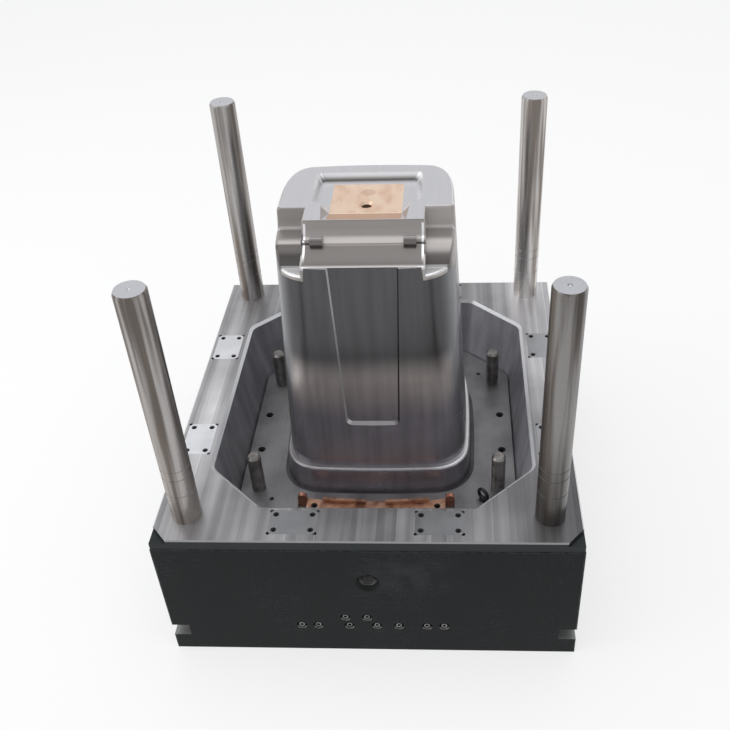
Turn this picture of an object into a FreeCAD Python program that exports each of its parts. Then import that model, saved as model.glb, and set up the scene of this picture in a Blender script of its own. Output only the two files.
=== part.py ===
import FreeCAD, Part
import math
import os

# Core half of an injection mould for a wheeled bin, in millimetres.
# The origin is the middle of the block's underside, +Z is the opening direction
# and -Y is the side with the coolant ports.

# Block
block_width = 1000.0
block_depth = 1070.0
block_height = 400.0
band_height = 30.0
band_step = 1.5
top_edge_chamfer = 3.0

# Tapered pocket that the cavity half's nose closes into
pocket_side_rim = 103.0
pocket_front_rim = 112.0
pocket_rear_rim = 104.0
pocket_cut_x = 140.0
pocket_cut_y = 132.0
pocket_corner_radius = 36.0
pocket_draft = 8.5
pocket_rim_chamfer = 7.0
pocket_floor_z = 165.0

# The block is a base with four frame bars screwed onto it round the pocket
frame_lap = 3.0
frame_screw_radius = 10.0
frame_screw_head_z = 50.0
frame_screw_engagement = 50.0
frame_screw_side_inset = 85.0
frame_screw_side_y = (-150.0, 200.0)
frame_screw_end_x = 250.0
frame_screw_end_inset = 72.0

# Clamp slots, pry notches and lifting holes
clamp_slot_z = 52.0
clamp_slot_height = 38.0
clamp_slot_depth = 43.0
pry_leg_x = 43.0
pry_leg_y = 50.0
pry_depth = 10.0
lifting_z = 259.0
lifting_radius = 21.5
lifting_depth = 90.0
drill_point_share = 0.6
lifting_mouth_radius = 30.0

# Guide pillars
pillar_radius = 35.0
pillar_reach = 634.5
pillar_socket = 160.0
pillar_inset_x = 75.0
pillar_inset_front = 86.0
pillar_inset_rear = 60.0
pillar_lead = 6.0
pillar_centre_radius = 5.0
pillar_groove_heights = (88.0, 139.0, 165.0)
pillar_groove_width = 3.0
pillar_groove_depth = 1.0
pillar_screw_radius = 12.0
pillar_screw_reach = 45.0

# Wear plates let into the rim
plate_length = 113.0
plate_width = 73.0
plate_thickness = 12.0
plate_clip = 8.0
plate_relief_radius = 4.5
plate_screw_spacing_long = 86.0
plate_screw_spacing_short = 47.0
plate_screw_radius = 4.0
plate_screw_sink = 2.5
plate_screw_length = 26.0
side_plate_inset = 48.5
side_plate_pitch = 392.0
side_plate_shift = 6.0
front_plate_inset = 61.5
rear_plate_inset = 52.0
end_plate_pitch = 340.0

# Core: a foot, and a tapered body in the shape of the bin's inside
core_shift_y = 28.0
core_seat_depth = 15.0
foot_side_room = 249.0
foot_half_depth = 232.0
foot_height = 75.0
foot_draft = 2.0
foot_edge_radius = 8.0
foot_ledge_side = 12.0
foot_ledge_front = 18.0
foot_ledge_rear = 10.0
body_lean_side = 31.0
body_lean_front = 10.0
body_lean_rear = 50.0
body_height = 750.0
cap_height = 120.0
body_edge_radius = 9.0
side_bow = 11.0
front_corner = 88.0
rear_corner_across = 54.0
rear_corner_along = 108.0

# Channel across the core's front top edge, where the bin's axle runs
channel_setback = 94.0
channel_line_setback = 66.0
channel_line_drop = 45.0
channel_edge_drop = 73.0
channel_overrun = 3.0
channel_edge_radius = 3.0
upper_cove = 9.0
lower_cove = 6.0
axle_boss_radius = 13.0
axle_boss_length = 29.0
axle_rib_radius = 5.0
axle_rib_length = 35.0

# Wheel recesses at the two ends of the channel
recess_width = 66.0
recess_setback = 153.0
recess_edge_radius = 7.0
recess_inner_radius = 4.0
recess_valley_setback = 147.0
recess_valley_drop = 54.0
recess_ridge_setback = 140.0
recess_ridge_drop = 48.0
recess_drum_setback = 108.0
recess_ledge_setback = 45.0
recess_ledge_drop = 97.0
recess_cove = 2.0
recess_drum_rise = 12.0

# Shallow panel on the core's front and the sunk field on its top
panel_top_half = 81.0
panel_bottom_half = 63.5
panel_bottom_z = 450.0
panel_corner_radius = 16.0
panel_depth = 6.0
panel_wall_run = 5.0
field_depth = 18.0
field_wall_run = 12.0
field_side_rim = 77.0
field_rear_setback = 331.0
field_shoulder_setback = 191.0
field_step_x = 26.0
field_step_y = 20.0
field_mouth_inset = 33.0
field_slope_run = 62.0
field_corner_radius = 14.0

# Copper top insert with its air valve
insert_side_margin = 45.0
insert_front_setback = 99.0
insert_rear_setback = 301.0
insert_thickness = 52.0
insert_corner_radius = 4.0
valve_setback = 198.0
valve_mouth_radius = 17.0
valve_bore_radius = 12.0
valve_mouth_depth = 6.0
valve_sink = 12.0
valve_head_height = 5.0
valve_stem_radius = 6.0
valve_gap = 0.4
guide_radius = 16.0
guide_length = 22.0
guide_air_hole_radius = 2.5
gallery_height = 4.0
chamber_radius = 22.0
chamber_depth = 40.0
valve_nut_radius = 12.0
valve_nut_height = 6.0
disc_count = 8
disc_thickness = 1.2
spring_space = 24.0
tie_rod_inset = 16.0
tie_rod_setback = 256.0
tie_rod_radius = 8.0
tie_rod_engagement = 24.0

# Screws and dowels that hold the core from below
core_screw_radius = 12.0
core_screw_engagement = 50.0
core_screw_head_z = 36.0
core_screw_side_inset = 36.0
core_screw_side_y = (-98.0, 122.0)
core_screw_front_x = 100.0
core_screw_rear_x = 120.0
core_screw_front_inset = 39.0
core_screw_rear_inset = 35.0
core_dowel_radius = 12.5
core_dowel_length = 60.0
core_dowel_inset = 61.0
core_dowel_y = 67.0

# Coolant and air: ports in the front face, risers, and baffled bores in the core
port_lower_z = 95.0
port_upper_z = 126.5
port_recess_radius = 13.0
port_recess_depth = 16.0
channel_radius = 6.0
air_port_x = 13.0
# Each circuit lies this far inside the core's side, or beside its middle; then come half the
# distance between its two ports, their height, and the risers' distance behind the core's middle
outer_circuit_inset = 55.5
outer_circuit_half = 20.5
right_circuit_inset = 51.0
right_circuit_half = 21.0
front_circuit_x = -36.5
front_circuit_half = 26.5
rear_circuit_x = 6.0
rear_circuit_half = 61.0
side_riser_y = -28.0
front_riser_y = -148.0
rear_riser_y = 122.0
bore_radius = 15.0
bore_top_gap = 38.0
baffle_thickness = 3.0
baffle_end_gap = 30.0
seal_radius = 19.5
seal_width = 2.5
link_height = 26.0
link_radius = 5.0
link_offset = 8.0
seal_height = 2.5
nipple_radius = 8.0
nipple_bore_radius = 4.5
nipple_length = 13.0
nipple_tail = 14.0

# Stripper plate, its ring, pins, rods and bushes
stripper_thickness = 60.0
stripper_edge_gap = 4.0
stripper_travel = 85.0
ring_wall = 10.0
ring_flange = 24.0
ring_flange_height = 24.0
core_gap = 0.4
pin_radius = 18.0
pin_reach = 117.0
pin_socket = 80.0
pin_chamfer = 5.0
pin_inset_x = 181.0
pin_inset_y = 315.0
pin_bush_wall = 7.0
running_gap = 0.04
rod_inset_x = 164.0
rod_half_pitch = 73.0
rod_radius = 20.0
rod_bush_wall = 6.0
rod_end_z = 14.0
rod_tap_radius = 8.5
rod_tap_depth = 35.0
rod_tap_mouth = 1.5
stop_radius = 30.0
stop_height = 20.0
stop_spare = 3.0
rod_screw_radius = 6.0
rod_screw_sink = 6.0
ring_screw_radius = 4.0
ring_screw_sink = 2.0
ring_screw_length = 30.0
ring_screw_side_y = 95.0
ring_screw_end_x = 115.0
tapped_inset_x = 221.0
tapped_inset_y = 273.0
tapped_radius = 6.0
tapped_depth = 30.0

# Copper insert that forms the bin's handle, and the lifting eye
handle_core_gap = 36.0
handle_depth = 53.0
handle_sink = 8.0
handle_half_width = 181.0
handle_low_height = 10.0
handle_bow = 16.0
handle_ridge_depth = 9.0
handle_ridge_height = 22.5
handle_ridge_inner = 25.0
handle_ridge_outer = 138.0
lug_width = 24.0
lug_depth = 12.0
lug_height = 31.0
handle_screw_x = 160.0
handle_screw_radius = 5.0
handle_screw_sink = 3.0
eye_ring_radius = 15.0
eye_wire_radius = 4.5
eye_collar_radius = 10.0
eye_collar_height = 5.0

# Small fits
seat_gap = 0.05
hex_share = 0.5
head_ratio = 1.6
head_gap = 0.6

# Worked-out places
half_width = block_width / 2
half_depth = block_depth / 2
frame_screw_side_x = half_width - frame_screw_side_inset
foot_half_width = half_width - foot_side_room
body_base_half_width = foot_half_width - foot_ledge_side
body_base_front = foot_half_depth - foot_ledge_front
body_base_rear = foot_half_depth - foot_ledge_rear
body_top_half_width = body_base_half_width - body_lean_side
body_top_front = body_base_front - body_lean_front
body_top_rear = body_base_rear - body_lean_rear
recess_inner_x = body_top_half_width - recess_width
axle_boss_x = recess_inner_x - axle_rib_length
field_half_width = body_top_half_width - field_side_rim
field_mouth_half = field_half_width - field_mouth_inset
insert_half_width = field_half_width - insert_side_margin
tie_rod_x = insert_half_width - tie_rod_inset
core_dowel_x = foot_half_width - core_dowel_inset
pin_x = half_width - pin_inset_x
pin_half_pitch = half_depth - pin_inset_y
rod_x = half_width - rod_inset_x
tapped_x = half_width - tapped_inset_x
tapped_half_pitch = half_depth - tapped_inset_y
core_base_z = pocket_floor_z - core_seat_depth
stripper_top_z = pocket_floor_z + stripper_thickness
foot_top_z = stripper_top_z + foot_height
core_top_z = stripper_top_z + body_height
cap_seam_z = core_top_z - cap_height
core_front_y = core_shift_y - body_top_front
insert_top_z = core_top_z - field_depth
insert_base_z = insert_top_z - insert_thickness
valve_y = core_front_y + valve_setback
pillar_places = {
    "front_left": (-half_width + pillar_inset_x, -half_depth + pillar_inset_front),
    "front_right": (half_width - pillar_inset_x, -half_depth + pillar_inset_front),
    "rear_left": (-half_width + pillar_inset_x, half_depth - pillar_inset_rear),
    "rear_right": (half_width - pillar_inset_x, half_depth - pillar_inset_rear),
}
pin_places = {
    "front_left": (-pin_x, core_shift_y - pin_half_pitch),
    "front_right": (pin_x, core_shift_y - pin_half_pitch),
    "rear_left": (-pin_x, core_shift_y + pin_half_pitch),
    "rear_right": (pin_x, core_shift_y + pin_half_pitch),
}
rod_places = {
    "front_left": (-rod_x, core_shift_y - rod_half_pitch),
    "front_right": (rod_x, core_shift_y - rod_half_pitch),
    "rear_left": (-rod_x, core_shift_y + rod_half_pitch),
    "rear_right": (rod_x, core_shift_y + rod_half_pitch),
}
left_plate_x = -half_width + side_plate_inset
front_plate_y = -half_depth + front_plate_inset
rear_plate_y = half_depth - rear_plate_inset
stop_ceiling_z = rod_end_z + stop_height + stripper_travel + stop_spare
pin_bush_radius = pin_radius + pin_bush_wall
handle_rear_y = core_shift_y - foot_half_depth - handle_core_gap
handle_front_y = handle_rear_y - handle_depth
handle_screw_y = handle_front_y + handle_depth / 2
handle_head_base = stripper_top_z + handle_low_height - handle_screw_sink - 2 * handle_screw_radius
rod_head_base = stripper_top_z - rod_screw_sink - 2 * rod_screw_radius
plate_head_base = block_height - plate_screw_sink - 2 * plate_screw_radius
plate_screw_tip = block_height - plate_screw_sink - plate_screw_length
ring_head_base = pocket_floor_z + ring_screw_sink + 2 * ring_screw_radius
ring_screw_tip = ring_head_base + ring_screw_length
tie_rod_y = core_front_y + tie_rod_setback
tie_rod_head_base = core_base_z + 2 * tie_rod_radius + 1
bore_top_z = core_top_z - recess_ledge_drop - bore_top_gap
valve_seat_z = insert_top_z - valve_sink - valve_head_height
near_side_y = side_plate_shift - side_plate_pitch / 2
far_side_y = side_plate_shift + side_plate_pitch / 2
plate_places = {
    "left_front": (left_plate_x, near_side_y, True),
    "left_rear": (left_plate_x, far_side_y, True),
    "right_front": (-left_plate_x, near_side_y, True),
    "right_rear": (-left_plate_x, far_side_y, True),
    "front_left": (-end_plate_pitch / 2, front_plate_y, False),
    "front_right": (end_plate_pitch / 2, front_plate_y, False),
    "rear_left": (-end_plate_pitch / 2, rear_plate_y, False),
    "rear_right": (end_plate_pitch / 2, rear_plate_y, False),
}

up = FreeCAD.Vector(0, 0, 1)
back = FreeCAD.Vector(0, 1, 0)
right = FreeCAD.Vector(1, 0, 0)


def point(x, y, z):
    return FreeCAD.Vector(x, y, z)


def rod(radius, x, y, bottom, top):
    return Part.makeCylinder(radius, top - bottom, point(x, y, bottom), up)


def ring(outer, inner, x, y, bottom, top):
    return rod(outer, x, y, bottom, top).cut(rod(inner, x, y, bottom - 1, top + 1))


def cone(low_radius, high_radius, x, y, bottom, top):
    return Part.makeCone(low_radius, high_radius, top - bottom, point(x, y, bottom), up)


def box(x0, x1, y0, y1, z0, z1):
    return Part.makeBox(x1 - x0, y1 - y0, z1 - z0, point(x0, y0, z0))


def rounded_wire(corners, radii, z):
    # Closed outline in a level plane, each corner an arc tangent to its two sides
    ends = []
    count = len(corners)
    for i in range(count):
        here = point(*corners[i], z)
        before = point(*corners[i - 1], z) - here
        after = point(*corners[(i + 1) % count], z) - here
        before.normalize()
        after.normalize()
        half_turn = before.getAngle(after) / 2
        reach = radii[i] / math.tan(half_turn)
        inward = (before + after).normalize()
        middle = here + inward * (radii[i] / math.sin(half_turn) - radii[i])
        ends.append((here + before * reach, middle, here + after * reach))
    edges = []
    for i in range(count):
        start, middle, end = ends[i]
        edges.append(Part.Arc(start, middle, end).toShape())
        edges.append(Part.LineSegment(end, ends[(i + 1) % count][0]).toShape())
    return Part.Wire(edges)


def loft(*wires):
    return Part.makeLoft(list(wires), True, True)


def prism(corners, radii, bottom, top):
    face = Part.Face(rounded_wire(corners, radii, bottom))
    return face.extrude(up * (top - bottom))


def pocket_corners(inset):
    # Eight corners of the pocket's outline, every side moved inwards by the inset
    x = half_width - pocket_side_rim - inset
    front = -half_depth + pocket_front_rim + inset
    rear = half_depth - pocket_rear_rim - inset
    diagonal = math.hypot(pocket_cut_x, pocket_cut_y)
    cut_x = pocket_cut_x + inset * ((diagonal - pocket_cut_x) / pocket_cut_y - 1)
    cut_y = pocket_cut_y + inset * ((diagonal - pocket_cut_y) / pocket_cut_x - 1)
    return [
        (x, front + cut_y), (x, rear - cut_y), (x - cut_x, rear), (cut_x - x, rear),
        (-x, rear - cut_y), (-x, front + cut_y), (cut_x - x, front), (x - cut_x, front),
    ]


def pocket_inset(z):
    return (block_height - z) * math.tan(math.radians(pocket_draft))


def pocket_wire(z, gap=0.0):
    return rounded_wire(pocket_corners(pocket_inset(z) + gap), [pocket_corner_radius] * 8, z)


def bowed_wire(half_x, front, rear, grow, z):
    # Outline of four slightly bowed sides joined by smooth corners, grown by a gap or wall
    half_x = half_x + grow
    front = front - grow
    rear = rear + grow
    middle = (front + rear) / 2
    side_half = (rear - front) / 2 - side_bow
    end_half = half_x - side_bow
    side_radius = (side_half ** 2 + side_bow ** 2) / (2 * side_bow)
    end_radius = (end_half ** 2 + side_bow ** 2) / (2 * side_bow)
    side_turn = math.asin(side_half / side_radius)
    end_turn = math.asin(end_half / end_radius)

    def on_arc(centre_x, centre_y, radius, angle):
        place = point(centre_x + radius * math.cos(angle), centre_y + radius * math.sin(angle), z)
        heading = point(-math.sin(angle), math.cos(angle), 0)
        return place, heading

    def arc(centre_x, centre_y, radius, facing, turn, start_trim, end_trim):
        first = facing - turn + start_trim / radius
        last = facing + turn - end_trim / radius
        spots = [on_arc(centre_x, centre_y, radius, a) for a in (first, (first + last) / 2, last)]
        edge = Part.Arc(spots[0][0], spots[1][0], spots[2][0]).toShape()
        return spots[0], spots[2], edge

    front_trim = front_corner + grow
    rear_across = rear_corner_across + grow
    rear_along = rear_corner_along + grow
    sides = [
        arc(half_x - side_radius, middle, side_radius, 0, side_turn, front_trim, rear_along),
        arc(0, rear - end_radius, end_radius, math.pi / 2, end_turn, rear_across, rear_across),
        arc(side_radius - half_x, middle, side_radius, math.pi, side_turn, rear_along, front_trim),
        arc(0, front + end_radius, end_radius, -math.pi / 2, end_turn, front_trim, front_trim),
    ]
    edges = []
    for i in range(4):
        start, heading = sides[i][1]
        end, next_heading = sides[(i + 1) % 4][0]
        lead = heading * ((end - start).dot(heading) * 0.5523)
        trail = next_heading * ((end - start).dot(next_heading) * 0.5523)
        corner = Part.BezierCurve()
        corner.setPoles([start, start + lead, end - trail, end])
        edges.append(sides[i][2])
        edges.append(corner.toShape())
    return Part.Wire(edges)


def foot_wire(grow, z):
    draft = (z - stripper_top_z) * math.tan(math.radians(foot_draft))
    front = core_shift_y - foot_half_depth
    rear = core_shift_y + foot_half_depth
    return bowed_wire(foot_half_width, front, rear, grow - draft, z)


def body_wire(z):
    share = (z - foot_top_z) / (core_top_z - foot_top_z)
    half_x = body_base_half_width + share * (body_top_half_width - body_base_half_width)
    front = body_base_front + share * (body_top_front - body_base_front)
    rear = body_base_rear + share * (body_top_rear - body_base_rear)
    return bowed_wire(half_x, core_shift_y - front, core_shift_y + rear, 0, z)


def edges_at(shape, z):
    level = []
    for edge in shape.Edges:
        if abs(edge.BoundBox.ZMin - z) < 0.01 and abs(edge.BoundBox.ZMax - z) < 0.01:
            level.append(edge)
    return level


def cap_screw(radius, x, y, head_base, tip, head_up=True):
    # Socket head screw: a head with a hexagon socket, and a plain shank
    head = radius * head_ratio
    height = radius * 2
    socket = radius * 2 * hex_share
    if head_up:
        body = rod(head, x, y, head_base, head_base + height)
        shank = rod(radius, x, y, tip, head_base)
        start = head_base + height - socket
    else:
        body = rod(head, x, y, head_base - height, head_base)
        shank = rod(radius, x, y, head_base, tip)
        start = head_base - height
    corners = []
    for i in range(6):
        angle = math.radians(60 * i)
        corners.append(point(x + radius * math.cos(angle), y + radius * math.sin(angle), start))
    key = Part.Face(Part.makePolygon(corners + corners[:1])).extrude(up * socket)
    return body.fuse(shank).cut(key).removeSplitter()


def cap_screws(radius, places, head_base, tip, head_up=True):
    return Part.makeCompound([cap_screw(radius, x, y, head_base, tip, head_up) for x, y in places])


def channel_arc(start, end, rise):
    # Arc in the Y-Z plane, given by setback and drop, bowed to the left of its run by the rise
    a = point(0, core_front_y + start[0], core_top_z - start[1])
    b = point(0, core_front_y + end[0], core_top_z - end[1])
    run = (b - a).normalize()
    side = point(0, -run.z, run.y)
    return Part.Arc(a, (a + b) * 0.5 + side * rise, b).toShape()


def channel_line(start, end):
    a = point(0, core_front_y + start[0], core_top_z - start[1])
    b = point(0, core_front_y + end[0], core_top_z - end[1])
    return Part.LineSegment(a, b).toShape()


def swept_across(edges, x0, x1):
    face = Part.Face(Part.Wire(edges))
    face.translate(right * x0)
    return face.extrude(right * (x1 - x0))


def axle_channel():
    overlap = 2.0
    outside = -60.0
    above = -40.0
    top = (channel_setback, 0.0)
    line = (channel_line_setback, channel_line_drop)
    edge = (-channel_overrun, channel_edge_drop)
    edges = [
        channel_arc(top, line, upper_cove),
        channel_arc(line, edge, lower_cove),
        channel_line(edge, (outside, channel_edge_drop)),
        channel_line((outside, channel_edge_drop), (outside, above)),
        channel_line((outside, above), (channel_setback, above)),
        channel_line((channel_setback, above), top),
    ]
    return swept_across(edges, -recess_inner_x - overlap, recess_inner_x + overlap)


def wheel_recess(side):
    outside = -60.0
    above = -40.0
    top = (recess_setback, 0.0)
    valley = (recess_valley_setback, recess_valley_drop)
    ridge = (recess_ridge_setback, recess_ridge_drop)
    drum = (recess_drum_setback, recess_ridge_drop + 3.0)
    ledge = (recess_ledge_setback, recess_ledge_drop)
    edges = [
        channel_arc(top, valley, recess_cove),
        channel_line(valley, ridge),
        channel_line(ridge, drum),
        channel_arc(drum, ledge, -recess_drum_rise),
        channel_line(ledge, (outside, recess_ledge_drop)),
        channel_line((outside, recess_ledge_drop), (outside, above)),
        channel_line((outside, above), (recess_setback, above)),
        channel_line((recess_setback, above), top),
    ]
    scoop = swept_across(edges, recess_inner_x, body_base_half_width + side_bow)
    if side < 0:
        scoop = scoop.mirror(point(0, 0, 0), right)
    return scoop


def recess_edges(core):
    # Edges where the wheel recesses run out through the core's rounded corners and sides
    found = []
    for edge in core.Edges:
        limits = edge.BoundBox
        outside = min(abs(limits.XMin), abs(limits.XMax)) > recess_inner_x - 1
        high = limits.ZMin > core_top_z - recess_ledge_drop - 1
        forward = limits.YMax < core_front_y + recess_setback + 1
        slanted = limits.XLength > 0.1 and limits.YLength > 0.1
        if outside and high and forward and slanted:
            found.append(edge)
    return found


def channel_front_edge(core):
    found = []
    for edge in core.Edges:
        limits = edge.BoundBox
        low = core_top_z - channel_edge_drop - 1
        at_edge = limits.ZMin > low and limits.ZMax < low + side_bow
        if at_edge and limits.YMax < core_front_y + side_bow and limits.XLength > recess_inner_x:
            found.append(edge)
    return found


def recess_inner_edges(core):
    # Edges between the core's top and the recesses' inner walls
    found = []
    for edge in core.Edges:
        limits = edge.BoundBox
        at_wall = limits.XLength < 0.01 and abs(abs(limits.Center.x) - recess_inner_x) < 0.01
        level = limits.ZLength < 0.01 and abs(limits.ZMax - core_top_z) < 0.01
        if at_wall and level and limits.YLength > recess_edge_radius * 2:
            found.append(edge)
    return found


def front_panel():
    # Shallow V-shaped panel: its floor follows the lean of the core's front
    reach = 40.0
    lean = (body_base_front - body_top_front) / (core_top_z - foot_top_z)
    top_z = core_top_z

    def outline(grow, inwards):
        slope = (panel_top_half - panel_bottom_half) / (top_z - panel_bottom_z)
        low = panel_bottom_z - grow * 2
        half_low = panel_bottom_half + grow - slope * grow * 2
        half_high = panel_top_half + grow
        corners = [(half_high, top_z), (-half_high, top_z), (-half_low, low), (half_low, low)]
        radii = [0.5, 0.5, panel_corner_radius, panel_corner_radius]
        wire = rounded_wire(corners, radii, 0)
        place = FreeCAD.Placement(point(0, 0, 0), FreeCAD.Rotation(right, 90))
        wire = wire.transformGeometry(place.toMatrix())
        matrix = FreeCAD.Matrix()
        matrix.A23 = lean
        matrix.A24 = core_shift_y - body_base_front - lean * foot_top_z + inwards
        return wire.transformGeometry(matrix)

    return loft(outline(panel_wall_run * (1 + reach / panel_depth), -reach), outline(0, panel_depth))


def top_field():
    # Sunk field on the core's top, open to the axle channel by a gentle slope
    mouth_y = core_front_y + channel_setback - 1
    floor_front = mouth_y + field_slope_run

    def outline(grow, front, z):
        rear = core_front_y + field_rear_setback - field_wall_run + grow
        shoulder = core_front_y + field_shoulder_setback + field_wall_run - grow
        wide = field_half_width - field_wall_run + grow
        narrow = field_mouth_half - field_wall_run + grow
        neck = wide - field_step_x
        corners = [
            (wide, rear), (-wide, rear), (-wide, shoulder), (-neck, shoulder - field_step_y),
            (-narrow, front), (narrow, front), (neck, shoulder - field_step_y), (wide, shoulder),
        ]
        soft = field_corner_radius
        radii = [soft, soft, soft / 2, soft / 4, 1.0, 1.0, soft / 4, soft / 2]
        return rounded_wire(corners, radii, z)

    low = outline(0, floor_front, insert_top_z)
    high = outline(field_wall_run, mouth_y, core_top_z)
    cap = outline(field_wall_run, mouth_y, core_top_z + 5)
    return loft(low, high).fuse(loft(high, cap))


def insert_blank(gap, bottom, top):
    front = core_front_y + insert_front_setback - gap
    rear = core_front_y + insert_rear_setback + gap
    half = insert_half_width + gap
    corners = [(half, front), (half, rear), (-half, rear), (-half, front)]
    return prism(corners, [insert_corner_radius] * 4, bottom, top)


def circuits():
    # For each circuit the x of its two ports, their height and the risers' distance
    left = outer_circuit_inset - body_top_half_width
    right_side = body_top_half_width - right_circuit_inset
    rows = [
        (left, outer_circuit_half, port_lower_z, side_riser_y),
        (front_circuit_x, front_circuit_half, port_upper_z, front_riser_y),
        (rear_circuit_x, rear_circuit_half, port_lower_z, rear_riser_y),
        (right_side, right_circuit_half, port_lower_z, side_riser_y),
    ]
    return [(x - half, x + half, z, offset) for x, half, z, offset in rows]


def bore_places():
    # Centres of the core's coolant bores, two to a circuit
    places = []
    for left_x, right_x, port_z, offset in circuits():
        for x in (left_x, right_x):
            places.append((x, core_shift_y + offset + bore_radius / 2))
    return places


def core_screw_xy():
    side_x = foot_half_width - core_screw_side_inset
    spots = [(side_x, y) for y in core_screw_side_y]
    spots.append((core_screw_front_x, core_screw_front_inset - foot_half_depth))
    spots.append((core_screw_rear_x, foot_half_depth - core_screw_rear_inset))
    places = []
    for x, y in spots:
        places.append((x, core_shift_y + y))
        places.append((-x, core_shift_y + y))
    return places


def whole_core():
    foot = loft(foot_wire(0, core_base_z), foot_wire(0, foot_top_z))
    foot = foot.makeFillet(foot_edge_radius, edges_at(foot, foot_top_z))
    body = loft(body_wire(foot_top_z - 1), body_wire(core_top_z))
    body = body.makeFillet(body_edge_radius, edges_at(body, core_top_z))
    core = foot.fuse(body)
    core = core.cut(axle_channel())
    core = core.makeFillet(channel_edge_radius, channel_front_edge(core))
    core = core.cut([wheel_recess(1), wheel_recess(-1)])
    core = core.makeFillet(recess_edge_radius, recess_edges(core))
    core = core.makeFillet(recess_inner_radius, recess_inner_edges(core))
    core = core.cut(front_panel())
    core = core.cut(top_field())

    boss_y = core_front_y + channel_line_setback
    boss_z = core_top_z - channel_line_drop + axle_boss_radius / 3
    rib_length = recess_inner_x - axle_boss_x
    extras = []
    for side in (-1, 1):
        middle = side * axle_boss_x
        boss_start = point(middle - axle_boss_length / 2, boss_y, boss_z)
        extras.append(Part.makeCylinder(axle_boss_radius, axle_boss_length, boss_start, right))
        rib_start = point(middle, boss_y, boss_z)
        extras.append(Part.makeCylinder(axle_rib_radius, rib_length, rib_start, right * side))
    core = core.fuse(extras)

    below = core_base_z - 1
    chamber_floor_z = insert_base_z - chamber_depth
    cuts = [insert_blank(seat_gap, insert_base_z, core_top_z + 5)]
    cuts.append(rod(chamber_radius, 0, valve_y, chamber_floor_z, insert_base_z + 1))
    cuts.append(rod(channel_radius, air_port_x, valve_y, below, chamber_floor_z + 1))
    for x, y in bore_places():
        cuts.append(rod(bore_radius, x, y, below, bore_top_z))
    for left_x, right_x, port_z, offset in circuits():
        link_y = core_shift_y + offset + bore_radius / 2 + link_offset
        start = point(left_x, link_y, core_base_z + link_height)
        cuts.append(Part.makeCylinder(link_radius, right_x - left_x, start, right))
    for x, y in core_screw_xy():
        cuts.append(rod(core_screw_radius + seat_gap, x, y, below, core_base_z + core_screw_engagement + 5))
    for side in (-1, 1):
        x = side * core_dowel_x
        y = core_shift_y + core_dowel_y
        cuts.append(rod(core_dowel_radius + seat_gap, x, y, below, core_base_z + core_dowel_length / 2))
        x = side * tie_rod_x
        cuts.append(rod(tie_rod_radius + seat_gap, x, tie_rod_y, below, insert_base_z + 1))
        head = tie_rod_radius * head_ratio + 1
        cuts.append(rod(head, x, tie_rod_y, below, tie_rod_head_base))
    return core.cut(cuts)


def slab(shape, bottom, top):
    # What lies between two heights
    reach = block_width + block_depth
    return shape.common(box(-reach, reach, -reach, reach, bottom, top))


def core_top_insert():
    blank = insert_blank(0, insert_base_z, core_top_z)
    mouth_z = insert_top_z - valve_mouth_depth
    guide_end_z = insert_base_z + guide_length
    throat = valve_bore_radius - valve_head_height
    cuts = [
        top_field(),
        cone(valve_bore_radius, valve_mouth_radius, 0, valve_y, mouth_z, insert_top_z),
        rod(valve_bore_radius, 0, valve_y, valve_seat_z, mouth_z),
        cone(throat, valve_bore_radius, 0, valve_y, valve_seat_z - valve_head_height, valve_seat_z),
        rod(guide_radius + seat_gap, 0, valve_y, insert_base_z - 1, guide_end_z),
        rod(throat, 0, valve_y, insert_base_z, valve_seat_z),
        rod(guide_radius - 1, 0, valve_y, insert_base_z, guide_end_z + gallery_height),
    ]
    tip = insert_base_z + tie_rod_engagement
    for side in (-1, 1):
        cuts.append(rod(tie_rod_radius + seat_gap, side * tie_rod_x, tie_rod_y, insert_base_z - 1, tip + 3))
    return blank.cut(cuts)


def insert_tie_rods():
    tip = insert_base_z + tie_rod_engagement
    places = [(-tie_rod_x, tie_rod_y), (tie_rod_x, tie_rod_y)]
    return cap_screws(tie_rod_radius, places, tie_rod_head_base, tip, False)


def air_valve():
    # The flare lies on the insert's conical seat
    head_radius = valve_bore_radius - valve_gap
    throat = valve_bore_radius - valve_head_height
    head_low = valve_seat_z - valve_gap
    flare_low = valve_seat_z - valve_head_height
    head = rod(head_radius, 0, valve_y, head_low, valve_seat_z + valve_head_height)
    flare = cone(throat, head_radius, 0, valve_y, flare_low, head_low)
    stem_end = insert_base_z - spring_space - valve_nut_height - 2
    stem = rod(valve_stem_radius, 0, valve_y, stem_end, flare_low)
    return head.fuse([flare, stem]).removeSplitter()


def air_valve_guide():
    guide_end_z = insert_base_z + guide_length
    guide = ring(guide_radius, valve_stem_radius + running_gap, 0, valve_y, insert_base_z, guide_end_z)
    holes = []
    middle = (guide_radius + valve_stem_radius) / 2
    for i in range(4):
        angle = math.radians(45 + 90 * i)
        x = middle * math.cos(angle)
        y = valve_y + middle * math.sin(angle)
        holes.append(rod(guide_air_hole_radius, x, y, insert_base_z - 1, guide_end_z + 1))
    return guide.cut(holes)


def air_valve_nut():
    top = insert_base_z - spring_space
    return ring(valve_nut_radius, valve_stem_radius, 0, valve_y, top - valve_nut_height, top)


def air_valve_springs():
    # Disc springs in pairs, open side to open side, between the guide and the nut
    pitch = spring_space / disc_count
    rise = pitch - disc_thickness
    inner = valve_stem_radius + 0.3
    outer = valve_nut_radius - 0.5
    discs = []
    for i in range(disc_count):
        base = insert_base_z - spring_space + i * pitch
        inner_z = base if i % 2 else base + rise
        outer_z = base + rise if i % 2 else base
        corners = [
            point(inner, 0, inner_z), point(outer, 0, outer_z),
            point(outer, 0, outer_z + disc_thickness), point(inner, 0, inner_z + disc_thickness),
        ]
        face = Part.Face(Part.makePolygon(corners + corners[:1]))
        disc = face.revolve(point(0, 0, 0), up, 360)
        disc.translate(point(0, valve_y, 0))
        discs.append(disc)
    return Part.makeCompound(discs)


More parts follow.
